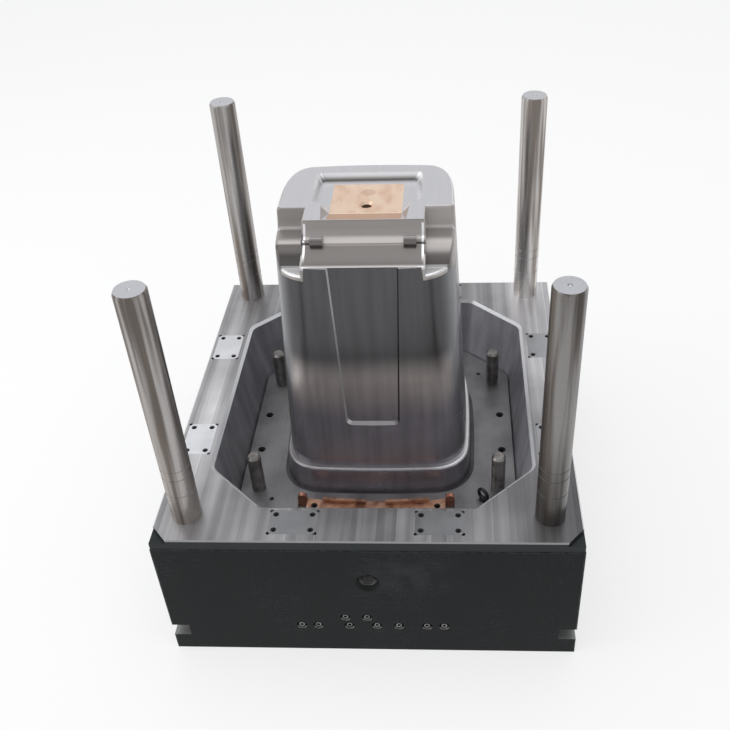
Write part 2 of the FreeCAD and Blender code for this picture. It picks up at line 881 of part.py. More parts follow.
def core_screws():
    tip = core_base_z + core_screw_engagement
    return cap_screws(core_screw_radius, core_screw_xy(), core_screw_head_z, tip, False)


def core_dowels():
    low = core_base_z - core_dowel_length / 2
    high = core_base_z + core_dowel_length / 2 - 1
    y = core_shift_y + core_dowel_y
    places = (-core_dowel_x, core_dowel_x)
    return Part.makeCompound([rod(core_dowel_radius, x, y, low, high) for x in places])


def coolant_baffles():
    half = bore_radius - 0.3
    half_thick = baffle_thickness / 2
    high = bore_top_z - baffle_end_gap
    plates = []
    for x, y in bore_places():
        plates.append(box(x - half, x + half, y - half_thick, y + half_thick, core_base_z, high))
    return Part.makeCompound(plates)


def riser_places():
    places = [(air_port_x, valve_y, port_lower_z)]
    for left_x, right_x, port_z, offset in circuits():
        for x in (left_x, right_x):
            places.append((x, core_shift_y + offset, port_z))
    return places


def seal_places():
    return [(air_port_x, valve_y)] + bore_places()


def seal_rings():
    inner = seal_radius - seal_width
    low = core_base_z - seal_height
    return Part.makeCompound([ring(seal_radius, inner, x, y, low, core_base_z) for x, y in seal_places()])


def pillar_lump(x, y):
    # Turned pillar with a tapered lead, a centre hole and three oil grooves
    base = block_height - pillar_socket
    top = block_height + pillar_reach
    body = rod(pillar_radius, x, y, base, top - pillar_lead)
    nose = cone(pillar_radius, pillar_radius - pillar_lead / 2, x, y, top - pillar_lead, top)
    cuts = [cone(0.5, pillar_centre_radius, x, y, top - pillar_centre_radius, top)]
    groove_radius = pillar_radius - pillar_groove_depth
    for height in pillar_groove_heights:
        z = block_height + height
        cuts.append(ring(pillar_radius + 1, groove_radius, x, y, z, z + pillar_groove_width))
    cuts.append(rod(pillar_screw_radius + seat_gap, x, y, base - 1, base + pillar_screw_reach + 3))
    return body.fuse(nose).cut(cuts)


def pillar_screws():
    head_base = block_height - pillar_socket - pillar_screw_reach
    tip = block_height - pillar_socket + pillar_screw_reach
    return cap_screws(pillar_screw_radius, pillar_places.values(), head_base, tip, False)


def plate_halves(upright, grow):
    half_x = (plate_width if upright else plate_length) / 2 + grow
    half_y = (plate_length if upright else plate_width) / 2 + grow
    return half_x, half_y


def plate_screw_xy(x, y, upright):
    dx = (plate_screw_spacing_short if upright else plate_screw_spacing_long) / 2
    dy = (plate_screw_spacing_long if upright else plate_screw_spacing_short) / 2
    return [(x + sx * dx, y + sy * dy) for sx in (-1, 1) for sy in (-1, 1)]


def wear_plate(x, y, upright):
    half_x, half_y = plate_halves(upright, 0)
    clip = plate_clip
    corners = [
        (x + half_x, y - half_y + clip), (x + half_x, y + half_y - clip),
        (x + half_x - clip, y + half_y), (x - half_x + clip, y + half_y),
        (x - half_x, y + half_y - clip), (x - half_x, y - half_y + clip),
        (x - half_x + clip, y - half_y), (x + half_x - clip, y - half_y),
    ]
    base = block_height - plate_thickness
    outline = [point(a, b, base) for a, b in corners]
    plate = Part.Face(Part.makePolygon(outline + outline[:1])).extrude(up * plate_thickness)
    holes = []
    head = plate_screw_radius * head_ratio + head_gap
    for a, b in plate_screw_xy(x, y, upright):
        holes.append(rod(head, a, b, plate_head_base, block_height + 1))
        holes.append(rod(plate_screw_radius + seat_gap, a, b, base - 1, plate_head_base))
    return plate.cut(holes)


def wear_plate_pocket(x, y, upright):
    # Pocket with a drilled relief in each corner
    half_x, half_y = plate_halves(upright, seat_gap)
    base = block_height - plate_thickness
    top = block_height + 1
    tools = [box(x - half_x, x + half_x, y - half_y, y + half_y, base, top)]
    relief_x = half_x - plate_relief_radius / 2
    relief_y = half_y - plate_relief_radius / 2
    for sx in (-1, 1):
        for sy in (-1, 1):
            tools.append(rod(plate_relief_radius, x + sx * relief_x, y + sy * relief_y, base, top))
    for a, b in plate_screw_xy(x, y, upright):
        tools.append(rod(plate_screw_radius + seat_gap, a, b, plate_screw_tip - 2, base + 1))
    return tools


def wear_plate_screws():
    places = []
    for place in plate_places.values():
        places.extend(plate_screw_xy(*place))
    return cap_screws(plate_screw_radius, places, plate_head_base, plate_screw_tip)


def pry_notch(side):
    base = block_height - pry_depth
    corner = point(side * (half_width + 1), -half_depth - 1, base)
    legs = [corner, corner - right * side * (pry_leg_x + 1), corner + back * (pry_leg_y + 1)]
    return Part.Face(Part.makePolygon(legs + legs[:1])).extrude(up * (pry_depth + 1))


def lifting_hole(side):
    face_y = side * half_depth
    inwards = back * -side
    bore = Part.makeCylinder(lifting_radius, lifting_depth, point(0, face_y, lifting_z), inwards)
    depth = lifting_mouth_radius - lifting_radius
    mouth = Part.makeCone(lifting_mouth_radius, lifting_radius, depth, point(0, face_y, lifting_z), inwards)
    end = point(0, face_y - side * lifting_depth, lifting_z)
    drill_point = Part.makeCone(lifting_radius, 0, lifting_radius * drill_point_share, end, inwards)
    return [bore, mouth, drill_point]


def port_tools():
    # Port recess, long channel and riser for each circuit's two ends, and for the air
    tools = []
    for x, y, z in riser_places():
        start = point(x, -half_depth - 1, z)
        tools.append(Part.makeCylinder(port_recess_radius, port_recess_depth + 1, start, back))
        tools.append(Part.makeCylinder(channel_radius, y + half_depth + 1, start, back))
        tools.append(rod(channel_radius, x, y, z, core_base_z + 1))
        tools.append(Part.makeCylinder(nipple_radius, nipple_tail + port_recess_depth, start, back))
    outer = seal_radius + seat_gap
    inner = seal_radius - seal_width - seat_gap
    for x, y in seal_places():
        tools.append(ring(outer, inner, x, y, core_base_z - seal_height, core_base_z + 1))
    return tools


def frame_screw_xy():
    places = []
    for side in (-1, 1):
        for y in frame_screw_side_y:
            places.append((side * frame_screw_side_x, y))
        for x in (-frame_screw_end_x, frame_screw_end_x):
            places.append((x, side * (half_depth - frame_screw_end_inset)))
    return places


def frame_screws():
    tip = pocket_floor_z + frame_screw_engagement
    return cap_screws(frame_screw_radius, frame_screw_xy(), frame_screw_head_z, tip, False)


def frame_zone(name):
    # The front and rear bars run the block's full width, the side bars between them
    x = half_width + 1
    y = half_depth + 1
    top = block_height + 1
    reach = pocket_inset(pocket_floor_z) + frame_lap
    front = -half_depth + pocket_front_rim + reach
    rear = half_depth - pocket_rear_rim - reach
    zones = {
        "front": box(-x, x, -y, front, pocket_floor_z, top),
        "rear": box(-x, x, rear, y, pocket_floor_z, top),
        "left": box(-x, 0, front, rear, pocket_floor_z, top),
        "right": box(0, x, front, rear, pocket_floor_z, top),
    }
    return zones[name]


def whole_block():
    low_part = box(-half_width, half_width, -half_depth, half_depth, 0, block_height - band_height)
    high_part = box(-half_width + band_step, half_width - band_step, -half_depth + band_step,
                    half_depth - band_step, block_height - band_height - 1, block_height)
    high_part = high_part.makeChamfer(top_edge_chamfer, edges_at(high_part, block_height))
    block = low_part.fuse(high_part)

    chamfer_z = block_height - pocket_rim_chamfer
    top = block_height + 1
    rim = pocket_rim_chamfer + 1
    rim_wire = rounded_wire(pocket_corners(-rim), [pocket_corner_radius] * 8, top)
    cuts = [
        loft(pocket_wire(pocket_floor_z), pocket_wire(top)),
        loft(pocket_wire(chamfer_z), rim_wire),
        loft(foot_wire(seat_gap, core_base_z), foot_wire(seat_gap, pocket_floor_z + 1)),
    ]
    slot_top = clamp_slot_z + clamp_slot_height
    for side in (-1, 1):
        inner = half_width - clamp_slot_depth
        near = min(side * inner, side * (half_width + 1))
        far = max(side * inner, side * (half_width + 1))
        cuts.append(box(near, far, -half_depth - 1, half_depth + 1, clamp_slot_z, slot_top))
        cuts.append(pry_notch(side))
        cuts.extend(lifting_hole(side))
    for place in plate_places.values():
        cuts.extend(wear_plate_pocket(*place))
    cuts.extend(port_tools())
    for x, y in pillar_places.values():
        base = block_height - pillar_socket
        cuts.append(rod(pillar_radius + seat_gap, x, y, base, block_height + 1))
        cuts.append(rod(pillar_screw_radius + 1, x, y, -1, base + 1))
        cuts.append(rod(pillar_screw_radius * head_ratio + 2, x, y, -1, base - pillar_screw_reach))
    for x, y in core_screw_xy():
        cuts.append(rod(core_screw_radius + 1, x, y, -1, core_base_z + 1))
        cuts.append(rod(core_screw_radius * head_ratio + 2, x, y, -1, core_screw_head_z))
    for x, y in frame_screw_xy():
        end = pocket_floor_z + frame_screw_engagement + 5
        cuts.append(rod(frame_screw_radius + seat_gap, x, y, -1, end))
        cuts.append(rod(frame_screw_radius * head_ratio + 2, x, y, -1, frame_screw_head_z))
    dowel_y = core_shift_y + core_dowel_y
    dowel_low = core_base_z - core_dowel_length / 2
    for x in (-core_dowel_x, core_dowel_x):
        cuts.append(rod(core_dowel_radius + seat_gap, x, dowel_y, dowel_low, core_base_z + 1))
    for x, y in pin_places.values():
        cuts.append(rod(pin_radius + seat_gap, x, y, pocket_floor_z - pin_socket, pocket_floor_z + 1))
    bush_seat = rod_radius + rod_bush_wall
    for x, y in rod_places.values():
        cuts.append(rod(bush_seat, x, y, stop_ceiling_z - 1, pocket_floor_z + 1))
        cuts.append(rod(stop_radius + 1, x, y, -1, stop_ceiling_z))
    return block.cut(cuts)


def stripper_guide_pin(x, y):
    base = pocket_floor_z - pin_socket
    top = stripper_top_z + pin_reach
    body = rod(pin_radius, x, y, base, top - pin_chamfer)
    tip = cone(pin_radius, pin_radius - pin_chamfer, x, y, top - pin_chamfer, top)
    return body.fuse(tip)


def stripper_pin_bushes():
    inner = pin_radius + running_gap
    low = pocket_floor_z + 1
    places = pin_places.values()
    return Part.makeCompound([ring(pin_bush_radius, inner, x, y, low, stripper_top_z) for x, y in places])


def rod_bushes():
    outer = rod_radius + rod_bush_wall
    inner = rod_radius + running_gap
    high = pocket_floor_z - 0.5
    places = rod_places.values()
    return Part.makeCompound([ring(outer, inner, x, y, stop_ceiling_z, high) for x, y in places])


def ejector_rod(x, y):
    # Push rod from the machine's side up to the stripper plate's underside
    body = rod(rod_radius, x, y, rod_end_z, pocket_floor_z)
    collar = rod(stop_radius, x, y, rod_end_z, rod_end_z + stop_height)
    tap_end = rod_end_z + rod_tap_depth
    tap = rod(rod_tap_radius, x, y, rod_end_z - 1, tap_end)
    drill_point = cone(rod_tap_radius, 0, x, y, tap_end, tap_end + rod_tap_radius * drill_point_share)
    mouth = cone(rod_tap_radius + rod_tap_mouth, rod_tap_radius, x, y, rod_end_z, rod_end_z + rod_tap_mouth)
    screw_low = pocket_floor_z - 3 * rod_screw_radius - 2
    screw = rod(rod_screw_radius + seat_gap, x, y, screw_low, pocket_floor_z + 1)
    return body.fuse(collar).cut([tap, drill_point, mouth, screw])


def rod_screws():
    tip = pocket_floor_z - 3 * rod_screw_radius
    return cap_screws(rod_screw_radius, rod_places.values(), rod_head_base, tip)


def ring_screw_xy():
    # Two to each side, on the middle of the flange, which follows the foot's bow
    out = core_gap + ring_wall + ring_flange / 2
    side_x = foot_half_width + out - side_bow * (ring_screw_side_y / foot_half_depth) ** 2
    end_y = foot_half_depth + out - side_bow * (ring_screw_end_x / foot_half_width) ** 2
    places = []
    for sx in (-1, 1):
        for sy in (-1, 1):
            places.append((sx * side_x, core_shift_y + sy * ring_screw_side_y))
            places.append((sx * ring_screw_end_x, core_shift_y + sy * end_y))
    return places


def ring_screws():
    return cap_screws(ring_screw_radius, ring_screw_xy(), ring_head_base, ring_screw_tip, False)


def handle_pocket():
    wide = handle_half_width + lug_width + seat_gap
    front = handle_front_y - seat_gap
    rear = handle_rear_y + seat_gap
    return box(-wide, wide, front, rear, stripper_top_z - handle_sink, stripper_top_z + 1)


def stripper_plate():
    low = pocket_wire(pocket_floor_z, stripper_edge_gap)
    high = pocket_wire(stripper_top_z, stripper_edge_gap)
    plate = loft(low, high)
    opening = core_gap + ring_wall + seat_gap
    wide_opening = opening + ring_flange
    below = pocket_floor_z - 1
    above = stripper_top_z + 1
    flange_top = pocket_floor_z + ring_flange_height
    cuts = [
        loft(foot_wire(opening, below), foot_wire(opening, above)),
        loft(foot_wire(wide_opening, below), foot_wire(wide_opening, flange_top)),
        handle_pocket(),
    ]
    for x, y in rod_places.values():
        cuts.append(rod(rod_screw_radius * head_ratio + 1, x, y, rod_head_base, above))
        cuts.append(rod(rod_screw_radius + seat_gap, x, y, below, rod_head_base))
    for x, y in pin_places.values():
        cuts.append(rod(pin_bush_radius, x, y, below, above))
    for x, y in tapped_places():
        cuts.append(rod(tapped_radius + seat_gap, x, y, stripper_top_z - tapped_depth, above))
    for x, y in ring_screw_xy():
        cuts.append(rod(ring_screw_radius + seat_gap, x, y, pocket_floor_z, ring_screw_tip + 2))
    screw_end = stripper_top_z - handle_sink - 3 * handle_screw_radius - 3
    for x in (-handle_screw_x, handle_screw_x):
        cuts.append(rod(handle_screw_radius + seat_gap, x, handle_screw_y, screw_end, stripper_top_z))
    return plate.cut(cuts)


def tapped_places():
    return [(sx * tapped_x, core_shift_y + sy * tapped_half_pitch) for sx in (-1, 1) for sy in (-1, 1)]


def stripper_ring():
    outer = core_gap + ring_wall
    wide = outer + ring_flange
    flange_top = pocket_floor_z + ring_flange_height
    lip = loft(foot_wire(outer, pocket_floor_z + 1), foot_wire(outer, stripper_top_z))
    flange = loft(foot_wire(wide, pocket_floor_z + 0.5), foot_wire(wide, flange_top))
    cuts = [loft(foot_wire(core_gap, pocket_floor_z - 1), foot_wire(core_gap, stripper_top_z + 1))]
    for x, y in ring_screw_xy():
        cuts.append(rod(ring_screw_radius * head_ratio + head_gap, x, y, pocket_floor_z, ring_head_base))
        cuts.append(rod(ring_screw_radius + seat_gap, x, y, pocket_floor_z, flange_top + 1))
    return lip.fuse(flange).cut(cuts)


def handle_insert():
    # A bar with two low ridges whose rear follows the core's bow, and a round-topped lug at each end
    low = stripper_top_z - handle_sink
    front = handle_front_y
    rear = handle_rear_y
    half = handle_half_width
    base_top = stripper_top_z + handle_low_height
    ridge_top = stripper_top_z + handle_ridge_height
    curve_radius = (half ** 2 + handle_bow ** 2) / (2 * handle_bow)
    curve_y = rear - handle_bow + curve_radius
    outer_curve = rod(curve_radius + handle_ridge_depth, 0, curve_y, stripper_top_z, ridge_top)
    insert = box(-half, half, front, rear, low, base_top)
    for left, right_end in ((-handle_ridge_outer, -handle_ridge_inner), (handle_ridge_inner, handle_ridge_outer)):
        ridge = box(left, right_end, front, rear, stripper_top_z, ridge_top)
        insert = insert.fuse(ridge.common(outer_curve))
    insert = insert.cut(rod(curve_radius, 0, curve_y, stripper_top_z, ridge_top + 1))
    lug_low = stripper_top_z + lug_height - lug_width / 2
    lug_front = rear - lug_depth
    lugs = []
    for left in (-half - lug_width, half):
        lugs.append(box(left, left + lug_width, lug_front, rear, low, lug_low))
        crown_at = point(left + lug_width / 2, lug_front, lug_low)
        lugs.append(Part.makeCylinder(lug_width / 2, lug_depth, crown_at, back))
    insert = insert.fuse(lugs).removeSplitter()
    cuts = []
    head = handle_screw_radius * head_ratio + head_gap
    for x in (-handle_screw_x, handle_screw_x):
        cuts.append(rod(head, x, handle_screw_y, handle_head_base, ridge_top))
        cuts.append(rod(handle_screw_radius + seat_gap, x, handle_screw_y, low - 1, handle_head_base))
    return insert.cut(cuts)


def handle_screws():
    tip = stripper_top_z - handle_sink - 3 * handle_screw_radius
    places = [(-handle_screw_x, handle_screw_y), (handle_screw_x, handle_screw_y)]
    return cap_screws(handle_screw_radius, places, handle_head_base, tip)


def lifting_eye():
    x, y = tapped_x, core_shift_y - tapped_half_pitch
    centre_z = stripper_top_z + eye_collar_height + eye_ring_radius
    facing = (right + back).normalize()
    loop = Part.makeTorus(eye_ring_radius, eye_wire_radius, point(x, y, centre_z), facing)
    collar = rod(eye_collar_radius, x, y, stripper_top_z, stripper_top_z + eye_collar_height)
    shank = rod(tapped_radius, x, y, stripper_top_z - tapped_depth + 2, stripper_top_z + 1)
    return collar.fuse([loop, shank])


def nipple(x, z):
    # Turned coupling nipple: threaded tail in the channel's mouth, head in the port recess
    floor_y = -half_depth + port_recess_depth
    tail = Part.makeCylinder(nipple_radius - seat_gap, nipple_tail - 1.2, point(x, floor_y, z), back)
    head = Part.makeCylinder(nipple_radius - 1, nipple_length, point(x, floor_y - nipple_length, z), back)
    flange = Part.makeCylinder(nipple_radius + 2, 3, point(x, floor_y - 3, z), back)
    bore_start = point(x, floor_y - nipple_length - 1, z)
    bore = Part.makeCylinder(nipple_bore_radius, nipple_length + nipple_tail + 2, bore_start, back)
    return tail.fuse([head, flange]).cut(bore)


def save(name, shape):
    shape.exportStep(os.path.join("parts", name + ".step"))


os.makedirs("parts", exist_ok=True)
block = whole_block()
save("core_plate", slab(block, 0, pocket_floor_z))
for name in ("front", "rear", "left", "right"):
    save("frame_" + name, block.common(frame_zone(name)))
save("frame_screws", frame_screws())
core = whole_core()
save("core_body", slab(core, core_base_z, cap_seam_z))
save("core_cap", slab(core, cap_seam_z, core_top_z))
save("core_top_insert", core_top_insert())
save("insert_tie_rods", insert_tie_rods())
save("air_valve", air_valve())
save("air_valve_guide", air_valve_guide())
save("air_valve_nut", air_valve_nut())
save("air_valve_springs", air_valve_springs())
save("core_screws", core_screws())
save("core_dowels", core_dowels())
save("coolant_baffles", coolant_baffles())
save("seal_rings", seal_rings())
save("pillar_screws", pillar_screws())
save("wear_plate_screws", wear_plate_screws())
for name, place in pillar_places.items():
    save("guide_pillar_" + name, pillar_lump(*place))
for name, place in plate_places.items():
    save("wear_plate_" + name, wear_plate(*place))
for name, place in pin_places.items():
    save("stripper_guide_pin_" + name, stripper_guide_pin(*place))
for name, place in rod_places.items():
    save("ejector_rod_" + name, ejector_rod(*place))
save("ejector_rod_bushes", rod_bushes())
save("ejector_rod_screws", rod_screws())
save("stripper_plate", stripper_plate())
save("stripper_ring", stripper_ring())
save("stripper_ring_screws", ring_screws())
save("stripper_pin_bushes", stripper_pin_bushes())
save("handle_insert", handle_insert())
save("handle_insert_screws", handle_screws())
save("lifting_eye", lifting_eye())
save("coolant_nipples", Part.makeCompound([nipple(x, z) for x, y, z in riser_places()[1:]]))
save("air_nipple", nipple(air_port_x, port_lower_z))
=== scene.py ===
import math

import bmesh
import bpy
from mathutils import Matrix, Vector


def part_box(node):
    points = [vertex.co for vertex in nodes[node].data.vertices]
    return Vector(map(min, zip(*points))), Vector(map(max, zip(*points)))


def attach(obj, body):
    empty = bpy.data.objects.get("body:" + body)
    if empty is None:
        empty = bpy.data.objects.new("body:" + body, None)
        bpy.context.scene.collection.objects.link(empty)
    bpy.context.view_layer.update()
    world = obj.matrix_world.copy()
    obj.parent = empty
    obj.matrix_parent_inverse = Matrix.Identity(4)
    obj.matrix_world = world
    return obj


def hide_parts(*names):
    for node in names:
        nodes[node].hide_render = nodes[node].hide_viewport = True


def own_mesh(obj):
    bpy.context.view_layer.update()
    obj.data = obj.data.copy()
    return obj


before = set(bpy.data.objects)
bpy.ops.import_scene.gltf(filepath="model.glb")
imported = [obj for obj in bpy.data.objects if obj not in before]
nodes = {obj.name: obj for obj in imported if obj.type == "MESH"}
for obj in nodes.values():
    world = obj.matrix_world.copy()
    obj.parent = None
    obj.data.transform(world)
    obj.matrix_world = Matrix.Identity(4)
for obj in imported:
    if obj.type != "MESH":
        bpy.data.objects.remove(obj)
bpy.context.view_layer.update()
print("frame loaded:", len(nodes), "solids")

# Heights and faces that the finishes follow, read from the solids in metres
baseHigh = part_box("core_plate")[1]
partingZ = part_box("frame_front")[1].z
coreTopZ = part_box("core_cap")[1].z
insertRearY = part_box("core_top_insert")[1].y
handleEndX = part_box("handle_insert")[1].x
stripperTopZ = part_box("stripper_plate")[1].z
valveLow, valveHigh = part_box("air_valve")
valveAxis = (valveLow + valveHigh) / 2


def tint(red, green, blue):
    # A colour as it looks on screen, 0 to 255, turned into the linear numbers that shaders use
    linear = []
    for level in (red, green, blue):
        share = level / 255
        linear.append(share / 12.92 if share <= 0.04045 else ((share + 0.055) / 1.055) ** 2.4)
    return (*linear, 1.0)


# Node trees written as sums

class Num:
    # A node's socket that can stand in a sum; every operator adds one Math node
    def __init__(self, graph, socket):
        self.graph = graph
        self.socket = socket

    def __add__(self, other):
        return self.graph.math("ADD", self, other)

    def __radd__(self, other):
        return self.graph.math("ADD", other, self)

    def __sub__(self, other):
        return self.graph.math("SUBTRACT", self, other)

    def __rsub__(self, other):
        return self.graph.math("SUBTRACT", other, self)

    def __mul__(self, other):
        return self.graph.math("MULTIPLY", self, other)

    def __rmul__(self, other):
        return self.graph.math("MULTIPLY", other, self)

    def __truediv__(self, other):
        return self.graph.math("DIVIDE", self, other)

    def __rtruediv__(self, other):
        return self.graph.math("DIVIDE", other, self)

    def __neg__(self):
        return self.graph.math("MULTIPLY", self, -1.0)

    def __abs__(self):
        return self.graph.math("ABSOLUTE", self)


class Graph:
    # One node tree: a finish, the sky, or the making of a repeated piece
    def __init__(self, tree):
        self.tree = tree
        tree.nodes.clear()

    def node(self, kind, settings=None, inputs=None, out=0):
        made = self.tree.nodes.new(kind)
        for key, value in (settings or {}).items():
            if key == "stops":
                self.setStops(made.color_ramp, value)
            elif key == "choices":
                while len(made.index_switch_items) < value:
                    made.index_switch_items.new()
            else:
                setattr(made, key, value)
        for key, value in (inputs or {}).items():
            if isinstance(value, Num):
                self.tree.links.new(value.socket, made.inputs[key])
            elif made.inputs[key].type == "VECTOR":
                made.inputs[key].default_value = tuple(value)[:3]
            else:
                made.inputs[key].default_value = value
        return Num(self, made.outputs[out]) if made.outputs else None

    def setStops(self, ramp, stops):
        while len(ramp.elements) < len(stops):
            ramp.elements.new(0.5)
        for element, (position, colour) in zip(ramp.elements, stops):
            element.position = position
            element.color = colour

    def math(self, operation, first, second=0.0):
        return self.node("ShaderNodeMath", {"operation": operation}, {0: first, 1: second})

    def lower(self, first, second):
        return self.math("MINIMUM", first, second)

    def higher(self, first, second):
        return self.math("MAXIMUM", first, second)

    def split(self, vector):
        parts = self.node("ShaderNodeSeparateXYZ", inputs={0: vector})
        outputs = parts.socket.node.outputs
        return [Num(self, outputs[i]) for i in range(3)]

    def join(self, x, y, z):
        return self.node("ShaderNodeCombineXYZ", inputs={0: x, 1: y, 2: z})

    def fade(self, value, start, end, low=0.0, high=1.0):
        # Smooth change from low to high as the value goes from start to end
        inputs = {0: value, 1: start, 2: end, 3: low, 4: high}
        return self.node("ShaderNodeMapRange", {"interpolation_type": "SMOOTHSTEP"}, inputs)

    def within(self, value, start, end, soft):
        # 1 between start and end, 0 outside them
        begun = self.fade(value, start - soft, start + soft)
        return begun * (1 - self.fade(value, end - soft, end + soft))


# Finishes

class Paint(Graph):
    # One material, with the object's own coordinates and the way a surface faces at hand
    def __init__(self, name):
        self.material = bpy.data.materials.new(name)
        self.material.use_nodes = True
        super().__init__(self.material.node_tree)
        self.place = self.node("ShaderNodeTexCoord", out="Object")
        self.x, self.y, self.z = self.split(self.place)
        facing = self.node("ShaderNodeTexCoord", out="Normal")
        self.normalX, self.normalY, self.normalZ = self.split(facing)

    def mix(self, share, first, second):
        return self.node("ShaderNodeMix", {"data_type": "RGBA"}, {0: share, 6: first, 7: second}, 2)

    def blend(self, share, first, second):
        # The same for plain numbers
        return self.node("ShaderNodeMix", {"data_type": "FLOAT"}, {0: share, 2: first, 3: second})

    def tone(self, colour, strength):
        # The colour made lighter or darker by a number
        return self.node("ShaderNodeVectorMath", {"operation": "SCALE"}, {0: colour, "Scale": strength})

    def noise(self, scale, detail=3.0, stretch=(1, 1, 1), shift=0.0):
        moved = {0: self.place, 1: (shift, shift, shift), 3: stretch}
        vector = self.node("ShaderNodeMapping", inputs=moved)
        inputs = {"Vector": vector, "Scale": scale, "Detail": detail}
        return self.node("ShaderNodeTexNoise", inputs=inputs)

    def scratches(self, scale, stretch, shift, amount):
        # Thin broken lines: the crests of a stretched noise, kept only in patches
        lines = self.noise(scale, 2.0, stretch, shift)
        patches = self.fade(self.noise(4.0, 2.0, shift=shift + 3.1), 0.45, 0.62)
        return self.fade(abs(lines - 0.5), amount, 0.0) * patches

    def passes(self, value, width, shift):
        # Milling passes of uneven width: a random tone for each, and how near its edge is
        along = (value + shift) / width
        settings = {"voronoi_dimensions": "1D"}
        cells = self.node("ShaderNodeTexVoronoi", settings, {"W": along, "Scale": 1.0}, "Color")
        shade = self.node("ShaderNodeSeparateColor", inputs={0: cells}, out="Red")
        edge = {"voronoi_dimensions": "1D", "feature": "DISTANCE_TO_EDGE"}
        distance = self.node("ShaderNodeTexVoronoi", edge, {"W": along, "Scale": 1.0}, "Distance")
        return shade, distance * width

    def finish(self, colour, roughness, metallic, height, depth, strength, gloss=0.5):
        bump = {"Height": height, "Distance": depth, "Strength": strength}
        inputs = {
            "Base Color": colour,
            "Roughness": roughness,
            "Metallic": metallic,
            "Specular IOR Level": gloss,
            "Normal": self.node("ShaderNodeBump", inputs=bump),
        }
        shader = self.node("ShaderNodeBsdfPrincipled", inputs=inputs)
        self.node("ShaderNodeOutputMaterial", inputs={"Surface": shader})
        return self.material


# The block's steel: sides, rim and pocket walls

blockLook = {
    "side": tint(27, 29, 30),
    "mist": tint(50, 53, 55),
    "scratchAndHighlight": tint(88, 92, 94),
    "band": tint(50, 53, 54),
    "rimDark": tint(142, 141, 143),
    "rimLight": tint(192, 191, 193),
    "rimLineAndHighlight": tint(222, 223, 226),
    "edgeDull": tint(156, 156, 158),
    "wall": tint(146, 146, 152),
    "wallEdge": tint(170, 170, 174),
    "slot": tint(150, 151, 150),
    "bore": tint(34, 34, 35),
    "portLip": tint(206, 206, 206),
    "passWidth": 0.042,
    "bandHeight": 0.030,
    "rimWidth": 0.055,
    "slotDepth": 0.043,
    "slotZ": (0.052, 0.090),
    "portZ": (0.075, 0.130),
    "mistX": (0.0, 0.17),
    "mistZ": (0.235, 0.33),
    "leftFrontTones": (0.70, 1.0),
    "leftTones": (1.48, 1.02),
    "middleTone": 0.70,
    "rightTones": (0.42, 1.75),
}


def blockSide(paint, look, grain, streaks, edgeX, edgeY):
    # Charcoal sides with fine scratches, and a misty patch above the lifting hole
    side = paint.mix(paint.fade(grain, 0.3, 0.75), look["side"], paint.tone(look["side"], 1.45))
    mist = paint.within(paint.x, *look["mistX"], 0.08) * paint.within(paint.z, *look["mistZ"], 0.04)
    cloudy = paint.fade(paint.noise(22.0, 4.0, shift=5.0), 0.35, 0.65)
    mist = mist * cloudy * (1 - paint.fade(paint.y, -0.5, -0.4))
    side = paint.mix(mist * 0.75, side, look["mist"])
    hairs = paint.scratches(30.0, (6.0, 6.0, 0.6), 8.1, 0.010)
    side = paint.mix(paint.higher(streaks, hairs) * 0.28, side, look["scratchAndHighlight"])

    # A lighter band under the parting face
    bandZ = partingZ - look["bandHeight"]
    band = paint.fade(paint.z, bandZ - 0.0004, bandZ + 0.0004)
    bandTone = paint.mix(paint.fade(grain, 0.3, 0.7), look["band"], paint.tone(look["band"], 1.25))
    side = paint.mix(band, side, bandTone)

    # Painted highlight along the band's foot, the upright corners and the block's lower edge, broken up
    # in chips
    chips = paint.fade(paint.noise(60.0, 3.0, shift=9.0), 0.40, 0.58)
    bandLine = paint.within(paint.z, bandZ - 0.0012, bandZ + 0.0016, 0.0006)
    corner = 1 - paint.fade(paint.higher(edgeX, edgeY), 0.0015, 0.004)
    foot = 1 - paint.fade(paint.z, 0.001, 0.003)
    edgeHighlight = paint.higher(paint.higher(bandLine * 0.7, corner), foot * 0.6) * (0.30 + chips * 0.55)
    return paint.mix(edgeHighlight, side, look["scratchAndHighlight"])


def blockWall(paint, look):
    # Pocket walls, cut in level passes, with painted light on the right wall and a painted highlight
    # where they meet the parting face
    steps = paint.noise(260.0, 2.0, (0.03, 0.03, 1), 6.0)
    patchy = paint.fade(paint.noise(6.0, 3.0, shift=2.0), 0.3, 0.7)
    wall = paint.mix(patchy, look["wall"], paint.tone(look["wall"], 1.25))
    wall = paint.tone(wall, 0.88 + steps * 0.24)
    # Painted light: walls facing left are lighter
    wall = paint.tone(wall, paint.fade(paint.normalX, -0.9, 0.5, 1.35, 1.0))
    hanging = paint.noise(30.0, 3.0, (1, 1, 0.12), 9.0)
    wall = paint.tone(wall, paint.fade(hanging, 0.3, 0.7, 0.84, 1.18))
    nearRim = paint.fade(paint.z, partingZ - 0.004, partingZ - 0.001)
    return paint.mix(nearRim * 0.6, wall, look["wallEdge"])


